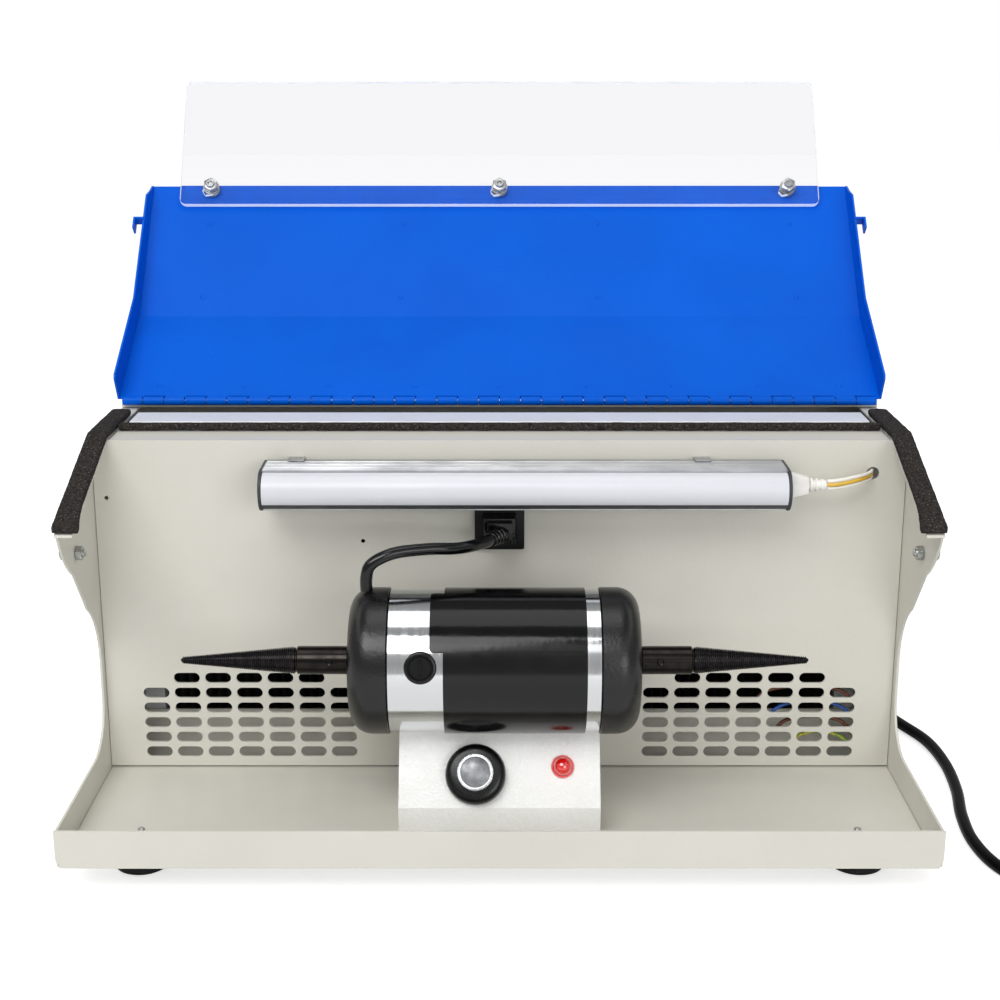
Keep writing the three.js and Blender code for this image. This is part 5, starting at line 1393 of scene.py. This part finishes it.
# End caps: die cast aluminium in satin black enamel, rounded at the rim, with a hub that
# holds the ball bearing
black_enamel, tree, shader = coating("satin_black_enamel", "#08080A", 0.3, Specular_IOR_Level=0.5)
varied(tree, shader, "#0A0A0C", "#060607", 0.02, roughness=(0.26, 0.34))
grain(tree, shader, 0.0018, 0.00012, 3.0)
bearing_steel, tree, shader = coating("bearing_steel", "#B9BBBD", 0.2, 1.0)
varied(tree, shader, "#C1C3C5", "#A3A5A8", 0.003, roughness=(0.14, 0.28))
end, rim, rounding = 0.078, 0.0392, 0.012
cap_profile = [(0.056, 0.0356), (0.056, rim - 0.0003), (0.0563, rim)]
for i in range(13):
    turn = math.pi / 2 * i / 12
    cap_profile.append(
        (end - 0.001 - rounding + rounding * math.sin(turn), rim - rounding + rounding * math.cos(turn))
    )
cap_profile += [
    (end - 0.001, 0.0146),
    (end - 0.0007, 0.0141),
    (end - 0.0002, 0.0137),
    (end, 0.0131),
    (end, 0.0060),
    (end - 0.0004, 0.0056),
    (end - 0.004, 0.0056),
    (end - 0.004, 0.0112),
    (end - 0.0114, 0.0112),
    (end - 0.0114, 0.0132),
    (end - 0.004, 0.0132),
    (end - 0.008, 0.0296),
    (end - 0.012, 0.0356),
    (0.056, 0.0356),
]
race_profile = [
    (end - 0.0112, 0.0051),
    (end - 0.0112, 0.0072),
    (end - 0.0109, 0.0074),
    (end - 0.0109, 0.0091),
    (end - 0.0112, 0.0093),
    (end - 0.0112, 0.0110),
    (end - 0.0042, 0.0110),
    (end - 0.0042, 0.0093),
    (end - 0.0045, 0.0091),
    (end - 0.0045, 0.0074),
    (end - 0.0042, 0.0072),
    (end - 0.0042, 0.0051),
    (end - 0.0112, 0.0051),
]
for side, name in sides:
    for kind, profile, slot, finish, steps in (
        ("cap", cap_profile, "motor_caps", black_enamel, 160),
        ("bearing", race_profile, "chrome_can", bearing_steel, 64),
    ):
        node = "motor_" + kind + "_" + name
        shape = turned(node + "_turned", mirrored(profile, side), "X", motor_at, steps)
        put(node + "_turned", shape, "case", slot, finish, node)

# Brush cap: a slotted screw cap of phenolic resin over the front brush, near the left end
# of the can and a little above its axis
phenolic, tree, shader = coating("black_phenolic", "#060607", 0.26, Specular_IOR_Level=0.35)
varied(tree, shader, "#080809", "#040405", 0.004, roughness=(0.22, 0.3))
brush_face = -can_radius - 0.0026
brush_profile = [
    (brush_face + 0.0003, 0),
    (brush_face + 0.0003, 0.0056),
    (brush_face + 0.0009, 0.0059),
    (brush_face + 0.0009, 0.0063),
    (brush_face, 0.0066),
    (brush_face, 0.0077),
    (brush_face + 0.0003, 0.0082),
    (brush_face + 0.0009, 0.0085),
    (-can_radius - 0.0003, 0.0085),
    (-can_radius - 0.0003, 0.0055),
    (-can_radius + 0.009, 0.0055),
    (-can_radius + 0.009, 0),
]
brush_slot = boxes(
    "brush_slot",
    ((-0.0011, brush_face - 0.002, -0.0045), (0.0011, brush_face + 0.0016, 0.0045)),
)
brush = cut_out(turned("brush", brush_profile, "Y", (0, 0, 0), 64), brush_slot, "brush_cap_turned")
brush_along, brush_turn = Vector((-0.0382, 0, 0)), math.radians(-14.8)
brush.transform(Matrix.Translation(motor_at + brush_along) @ Matrix.Rotation(brush_turn, 4, "X"))
put("brush_cap_turned", brush, "case", "black_plastic", phenolic, "brush_cap")

# Rotor: laminated iron wound with copper on a steel shaft, with its commutator. It turns
# inside the can, between the two magnets, and the bearings carry its shaft.
wound_copper, tree, shader = coating("enamelled_copper_winding", "#A8643A", 0.36, 1.0)
varied(tree, shader, "#B06B3E", "#8C4F2C", 0.003, roughness=(0.3, 0.45))
shaft_end = end + 0.0207
rotor_profile = [
    (-shaft_end, 0),
    (-shaft_end, 0.0045),
    (-shaft_end + 0.0005, 0.005),
    (-0.046, 0.005),
    (-0.046, 0.013),
    (-0.032, 0.013),
    (-0.032, 0.005),
    (-0.027, 0.005),
    (-0.027, 0.0225),
    (-0.0255, 0.024),
    (0.0255, 0.024),
    (0.027, 0.0225),
    (0.027, 0.005),
    (shaft_end - 0.0005, 0.005),
    (shaft_end, 0.0045),
    (shaft_end, 0),
]
put(
    "rotor_wound",
    turned("rotor_wound", rotor_profile, "X", motor_at, 96),
    "spindle",
    "rotor",
    wound_copper,
    "motor_shaft",
)

# Taper spindles: turned and hardened steel. A sleeve clamps each on the shaft with a grub
# screw, and a fine thread winds along the taper, so that a mop screws itself on.
black_oxide, tree, shader = coating("black_oxide_steel", "#2A2725", 0.22, 1.0)
varied(tree, shader, "#2F2C2A", "#23211F", 0.006, roughness=(0.18, 0.28))
worn_thread, tree, shader = coating("worn_thread_steel", "#29282B", 0.28, 1.0)
# The crests are rubbed a little brighter by the mops, and the flanks stay dark
varied(tree, shader, "#343337", "#1F1E21", 0.002, roughness=(0.2, 0.34))
sleeve_from, sleeve_to = end + 0.0006, end + 0.028
taper_from, taper_to = end + 0.0284, end + 0.028 + 0.0625
taper_root, taper_tip, ridge_radius = 0.0074, 0.0017, 0.00042
spindle_profile = [
    (sleeve_from, 0.0053),
    (sleeve_from, 0.0071),
    (sleeve_from + 0.0005, 0.0076),
    (sleeve_to - 0.0006, 0.0076),
    (sleeve_to, 0.0070),
    (sleeve_to, 0.0062),
    (sleeve_to + 0.0006, 0.0062),
    (sleeve_to + 0.0010, taper_root - 0.0005),
    (taper_to - 0.0017, taper_tip - 0.0003),
    (taper_to - 0.0006, 0.0011),
    (taper_to, 0.0005),
    (taper_to, 0),
    (end + 0.021, 0),
    (end + 0.021, 0.0053),
    (sleeve_from, 0.0053),
]


def wound_thread(tree, size):
    """A ridge that climbs a cone along Z."""
    path = add(
        tree,
        "GeometryNodeCurveSpiral",
        {
            "Resolution": size["resolution"],
            "Rotations": size["turns"],
            "Start Radius": size["root"],
            "End Radius": size["tip"],
            "Height": size["length"],
        },
    ).outputs[0]
    ridge = add(
        tree,
        "GeometryNodeCurvePrimitiveCircle",
        {"Resolution": 5, "Radius": size["ridge"]},
        mode="RADIUS",
    ).outputs[0]
    return add(
        tree,
        "GeometryNodeCurveToMesh",
        {"Curve": path, "Profile Curve": ridge, "Fill Caps": True},
    ).outputs[0]


thread = node_piece(
    "wound_thread",
    wound_thread,
    resolution=20,
    turns=52.0,
    root=taper_root - ridge_radius,
    tip=taper_tip - 0.0002,
    length=taper_to - taper_from - 0.0024,
    ridge=ridge_radius,
    finish=worn_thread,
)
grub_profile = [
    (0.0070, 0),
    (0.0070, 0.0012),
    (0.0077, 0.0012),
    (0.0079, 0.0017),
    (0.0076, 0.0021),
    (0.0070, 0.0021),
    (0.0070, 0),
]
thread_from, grub_along, grub_turn = taper_from + 0.0014, end + 0.0105, math.radians(180 - 12)
for side, name in sides:
    node = "taper_spindle_" + name
    core = turned(node + "_core", mirrored(spindle_profile, side), "X", motor_at, 64)
    put(node + "_core", core, "spindle", "taper_steel", black_oxide, node)
    # The left thread is left handed: it is the mirror image of the right one
    laid = thread.copy()
    turn = Matrix(((0, 0, side, 0), (0, 1, 0, 0), (-1, 0, 0, 0), (0, 0, 0, 1)))
    laid.transform(Matrix.Translation(motor_at + Vector((side * thread_from, 0, 0))) @ turn)
    form = bmesh.new()
    form.from_mesh(laid)
    bmesh.ops.recalc_face_normals(form, faces=form.faces)
    form.to_mesh(laid)
    form.free()
    laid.shade_smooth()
    put(node + "_thread", laid, "spindle", "taper_steel", worn_thread)
    screw = turned("grub", grub_profile, "Y", (0, 0, 0), 32)
    grub_at = motor_at + Vector((side * grub_along, 0, 0))
    screw.transform(Matrix.Translation(grub_at) @ Matrix.Rotation(grub_turn, 4, "X"))
    put(node + "_grub_screw", screw, "spindle", "taper_steel", black_oxide)

# Control box: folded steel in a near white hammered enamel, screwed to the tray. The
# motor lies in the saddle cut in its top.
hammered, tree, shader = coating("hammered_white_enamel", "#F7F7F5", 0.28)
varied(tree, shader, "#F9F9F7", "#F4F4F1", 0.012, roughness=(0.22, 0.32))
# Hammer enamel draws dimples about 1.3 mm across with low ridges that sparkle
place = add(tree, "ShaderNodeTexCoord").outputs["Object"]
dimples = add(
    tree,
    "ShaderNodeTexVoronoi",
    {"Vector": place, "Scale": 1 / 0.0013, "Smoothness": 0.5},
    feature="SMOOTH_F1",
)
hammer = add(tree, "ShaderNodeBump", {"Height": dimples.outputs["Distance"], "Distance": 0.0002})
tree.links.new(hammer.outputs["Normal"], shader.inputs["Normal"])
coated("control_box", "case", "case_paint", hammered, 0.0006)

# Speed control: a potentiometer on its board behind the panel, with its bush and nut
# through it. It is hidden, and all of it takes the black of its moulded housing.
speed_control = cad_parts["speed_control"].data
speed_control.materials.clear()
speed_control.materials.append(black_thermoplastic)

# Speed knob: a moulded black skirt round a core, with a knurled metal cap pressed on it.
# A grey disc is set in the face of the cap.
knob_plastic, tree, shader = coating("black_phenolic_knob", "#050506", 0.26, Specular_IOR_Level=0.35)
varied(tree, shader, "#070708", "#040405", 0.005, roughness=(0.22, 0.32))
grain(tree, shader, 0.0007, 0.00002)
panel_lean = math.radians(-30)
knob_at = Vector((-0.0128, -0.152376, 0.050642))
knob_place = Matrix.Translation(knob_at) @ Matrix.Rotation(panel_lean, 4, "X")
skirt_profile = [
    (-0.0128, 0),
    (-0.0128, 0.0066),
    (-0.0124, 0.007),
    (-0.0083, 0.007),
    (-0.0083, 0.0122),
    (-0.0080, 0.0135),
    (-0.0074, 0.0146),
    (-0.0064, 0.0155),
    (-0.0050, 0.0160),
    (-0.0036, 0.0162),
    (-0.0006, 0.0162),
    (-0.0003, 0.0159),
    (-0.0003, 0.0042),
    (-0.0056, 0.0042),
    (-0.0056, 0.0028),
    (0.00075, 0.0028),
    (0.00075, 0),
]
skirt = turned("speed_knob_turned", skirt_profile, "Y", (0, 0, 0), 96, 30)
skirt.transform(knob_place)
put("speed_knob_turned", skirt, "knob", "black_plastic", knob_plastic, "speed_knob")
knurled_aluminium, tree, shader = coating("bright_knurled_aluminium", "#D5D7D9", 0.22, 1.0)
varied(tree, shader, "#DCDEE0", "#BFC1C4", 0.002, roughness=(0.16, 0.3))
spun_disc, tree, shader = coating("spun_grey_disc", "#8C8E90", 0.42, 0.8)
# Fine turning marks run round the disc, and cloudy wear lies over them
place = add(tree, "ShaderNodeTexCoord").outputs["Object"]
centred = add(
    tree,
    "ShaderNodeMapping",
    {"Vector": place, "Location": tuple(knob_at), "Rotation": (panel_lean, 0, 0)},
    vector_type="TEXTURE",
).outputs["Vector"]
rings = add(
    tree,
    "ShaderNodeTexWave",
    {"Vector": centred, "Scale": 260.0, "Distortion": 0.6, "Detail": 2.0},
    wave_type="RINGS",
    rings_direction="Y",
)
turning = add(tree, "ShaderNodeBump", {"Height": rings.outputs["Fac"], "Distance": 0.00003})
tree.links.new(turning.outputs["Normal"], shader.inputs["Normal"])
varied(tree, shader, "#9A9C9E", "#77797B", 0.0035, roughness=(0.34, 0.5))


def knurled_ring(tree, size):
    """Round teeth in a ring about Z, each standing along it."""
    circle = add(
        tree,
        "GeometryNodeMeshCircle",
        {"Vertices": size["teeth"], "Radius": size["radius"]},
    ).outputs[0]
    tooth = add(
        tree,
        "GeometryNodeMeshCylinder",
        {"Vertices": 10, "Radius": size["tooth"], "Depth": size["length"]},
    ).outputs[0]
    return add(tree, "GeometryNodeInstanceOnPoints", {"Points": circle, "Instance": tooth}).outputs[0]


teeth = node_piece(
    "knurled_ring",
    knurled_ring,
    teeth=48,
    radius=0.0089,
    tooth=0.0006,
    length=0.0058,
    finish=knurled_aluminium,
)
teeth_middle = (0, -0.0121, 0)
teeth.transform(
    knob_place @ Matrix.Translation(teeth_middle) @ Matrix.Rotation(math.pi / 2, 4, "X")
)
teeth.shade_smooth()
teeth.set_sharp_from_angle(angle=math.radians(50))
ring_profile = [
    (-0.0086, 0.0073),
    (-0.0086, 0.0093),
    (-0.0090, 0.0094),
    (-0.0092, 0.0089),
    (-0.0150, 0.0089),
    (-0.0153, 0.0091),
    (-0.0156, 0.0088),
    (-0.0156, 0.0082),
    (-0.0152, 0.0080),
    (-0.0130, 0.0080),
    (-0.0130, 0.0073),
    (-0.0086, 0.0073),
]
ring = turned("knob_cap_ring", ring_profile, "Y", (0, 0, 0), 96)
ring.transform(knob_place)
put("knob_cap_ring", ring, "knob", "knob_cap", knurled_aluminium, "knob_cap")
put("knob_cap_teeth", teeth, "knob", "knob_cap", knurled_aluminium)
disc_profile = [(-0.0154, 0), (-0.0152, 0.0074), (-0.0149, 0.0078), (-0.0132, 0.0078), (-0.0132, 0)]
disc = turned("knob_cap_disc", disc_profile, "Y", (0, 0, 0), 96)
disc.transform(knob_place)
put("knob_cap_disc", disc, "knob", "knob_cap", spun_disc)

# Pilot lamp: a domed lens of clear red acrylic with a thin rim, on a stem through the
# panel. Moulded acrylic is glossy: the dome glows red and mirrors a lamp as a white point.
red_lens, tree, shader = coating(
    "red_acrylic_lens",
    "#DE0E0A",
    0.06,
    Specular_IOR_Level=1.0,
    Coat_Weight=1.0,
    Coat_IOR=1.6,
    Emission_Color=(1, 0.01, 0.01, 1),
    Emission_Strength=0.1,
)
varied(tree, shader, "#E61410", "#C40B08", 0.003, roughness=(0.06, 0.12))
pilot_at = Vector((0.0339, -0.150226, 0.054366))
dome_foot, dome_radius = -0.0017, 0.005
lens_profile = [(-0.0067, 0)]
for i in range(1, 13):
    turn = math.pi / 2 * i / 12
    lens_profile.append((dome_foot - dome_radius * math.cos(turn), dome_radius * math.sin(turn)))
lens_profile += [
    (-0.0013, 0.0054),
    (-0.0013, 0.0060),
    (-0.0009, 0.0062),
    (-0.0003, 0.0062),
    (-0.0003, 0.004),
    (0.014, 0.004),
    (0.014, 0),
]
lens = turned("pilot_lens", lens_profile, "Y", (0, 0, 0), 64)
lens.transform(Matrix.Translation(pilot_at) @ Matrix.Rotation(panel_lean, 4, "X"))
put("pilot_lens", lens, "case", "pilot_lens", red_lens, "indicator_lamp")

# Mains switch and gland on the rear cover: a snap-in rocker switch, and a screwed nylon
# gland whose tapered boot keeps the lead from a sharp bend.
coated("rocker_switch", "case", "black_plastic", black_thermoplastic, 0.0006)
coated("switch_rocker", "rocker", "black_plastic", black_thermoplastic, 0.0005)
low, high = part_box("cord_gland")
gland_at = Vector(((low.x + high.x) / 2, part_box("rear_panel")[1].y, (low.z + high.z) / 2))
gland_profile = [
    (-0.0045, 0),
    (-0.0045, 0.007),
    (0.0003, 0.007),
    (0.0003, 0.0086),
    (0.0007, 0.009),
    (0.0024, 0.009),
    (0.003, 0.0084),
    (0.003, 0.0066),
]
for i in range(7):
    start, radius = 0.0042 + 0.0033 * i, 0.0065 - 0.00024 * i
    gland_profile += [
        (start, radius),
        (start + 0.0004, radius - 0.0007),
        (start + 0.0014, radius - 0.0007),
        (start + 0.0018, radius - 0.0001),
    ]
gland_profile += [(0.0283, 0.0047), (0.029, 0.0043), (0.029, 0)]
put(
    "gland_boot",
    turned("gland_boot", gland_profile, "Y", gland_at, 64, 30),
    "case",
    "rubber",
    foot_rubber,
    "cord_gland",
)

# Wires behind the right block of slots: brown, blue and green with yellow, from the
# switch to the control box. Only short pieces show through the slots.
inner_wire_radius = 0.0011
for name, code, other, height, sag, left, right in (
    ("inner_wire_brown", "#6B3A22", "#5A2F1B", 0.0648, 0.0020, 0.150, 0.206),
    ("inner_wire_brown_low", "#6B3A22", "#5A2F1B", 0.0462, 0.0016, 0.162, 0.206),
    ("inner_wire_blue", "#2B5FB8", "#244F9C", 0.0550, 0.0030, 0.158, 0.206),
    ("inner_wire_green_yellow", "#7FA83A", "#D9C94A", 0.0366, 0.0018, 0.170, 0.206),
):
    sheath, tree, shader = coating(name + "_insulation", code, 0.4)
    varied(tree, shader, code, other, 0.004, 0.42, 0.58)
    middle = (left + right) / 2
    inner_line = smooth_route(
        [
            Vector((left, -0.0652, height - 0.006)),
            Vector((left + 0.006, -0.0646, height - 0.001)),
            Vector((middle, -0.0640, height + sag)),
            Vector((right - 0.006, -0.0646, height - 0.001)),
            Vector((right, -0.0652, height - 0.006)),
        ],
        0.001,
    )
    wire = laid_lead(name, inner_line, inner_wire_radius)
    put(name, wire, "case", "black_plastic", sheath)

# Studio: a pale floor, a large soft lamp above the front, a low soft fill, a weak lamp
# overhead, and a pale room all round that the chrome mirrors.
floor = bpy.data.objects.new("studio_floor", bpy.data.meshes.new("studio_floor"))
floor.data.from_pydata(
    [(-6, -6, 0), (6, -6, 0), (6, 6, 0), (-6, 6, 0)], [], [(0, 1, 2, 3)]
)
scene.collection.objects.link(floor)
paper_floor, tree, shader = coating(
    "pale_paper_floor", "#E4E4E4", 0.9, Specular_IOR_Level=0.1, Emission_Color=(1, 1, 1, 1)
)
# It glows for the camera, also behind the shield, and less in what the chrome mirrors
lift = add(tree, "ShaderNodeLightPath")
seen = add(
    tree,
    "ShaderNodeMath",
    {0: lift.outputs["Is Camera Ray"], 1: lift.outputs["Is Transmission Ray"]},
    operation="MAXIMUM",
).outputs[0]
bright = add(tree, "ShaderNodeMath", {0: seen, 1: 0.62}, operation="MULTIPLY").outputs[0]
dim = add(
    tree, "ShaderNodeMath", {0: lift.outputs["Is Glossy Ray"], 1: 0.2}, operation="MULTIPLY"
).outputs[0]
glow = add(tree, "ShaderNodeMath", {0: bright, 1: dim}, operation="MAXIMUM").outputs[0]
tree.links.new(glow, shader.inputs["Emission Strength"])
floor.data.materials.append(paper_floor)

room = bpy.data.worlds.new("pale_room")
room.use_nodes = True
scene.world = room
sky = room.node_tree
path = add(sky, "ShaderNodeLightPath")
direct = add(
    sky,
    "ShaderNodeMath",
    {0: path.outputs["Is Camera Ray"], 1: path.outputs["Is Transmission Ray"]},
    operation="MAXIMUM",
).outputs[0]
# What the chrome mirrors: a dim room with one bright strip 40 degrees up
towards = add(sky, "ShaderNodeTexCoord").outputs["Generated"]
height = add(sky, "ShaderNodeSeparateXYZ", {"Vector": towards}).outputs["Z"]
strip = add(sky, "ShaderNodeValToRGB", {"Fac": height})
for stop, grey in zip(strip.color_ramp.elements, (0.5, 0.45)):
    stop.color = (grey, grey, grey, 1)
for rise, grey in ((0.25, 0.4), (0.52, 0.5), (0.57, 1.3), (0.69, 1.3), (0.74, 0.12), (0.86, 0.3)):
    strip.color_ramp.elements.new(rise).color = (grey, grey, grey, 1)
indirect = add(
    sky, "ShaderNodeMix", {0: path.outputs["Is Glossy Ray"], 2: 0.5, 3: strip.outputs["Color"]}
).outputs[0]
level = add(sky, "ShaderNodeMix", {0: direct, 2: indirect, 3: 1.0}).outputs[0]
sky.nodes["Background"].inputs["Color"].default_value = (1, 1, 1, 1)
sky.links.new(level, sky.nodes["Background"].inputs["Strength"])

aim = Vector((0, -0.05, 0.15))
for name, place, size, power in (
    ("upper_softbox", (-0.7, -1.7, 1.9), (1.6, 1.1), 29),
    ("low_fill", (0.9, -2.0, 0.6), (1.0, 0.8), 9),
    ("overhead", (0, -0.15, 2.3), (1.4, 1.2), 8),
):
    lamp = bpy.data.lights.new(name, "AREA")
    lamp.shape = "RECTANGLE"
    lamp.size, lamp.size_y = size
    lamp.energy = power
    holder = bpy.data.objects.new(name, lamp)
    scene.collection.objects.link(holder)
    holder.location = place
    holder.rotation_euler = (aim - Vector(place)).to_track_quat("-Z", "Y").to_euler()
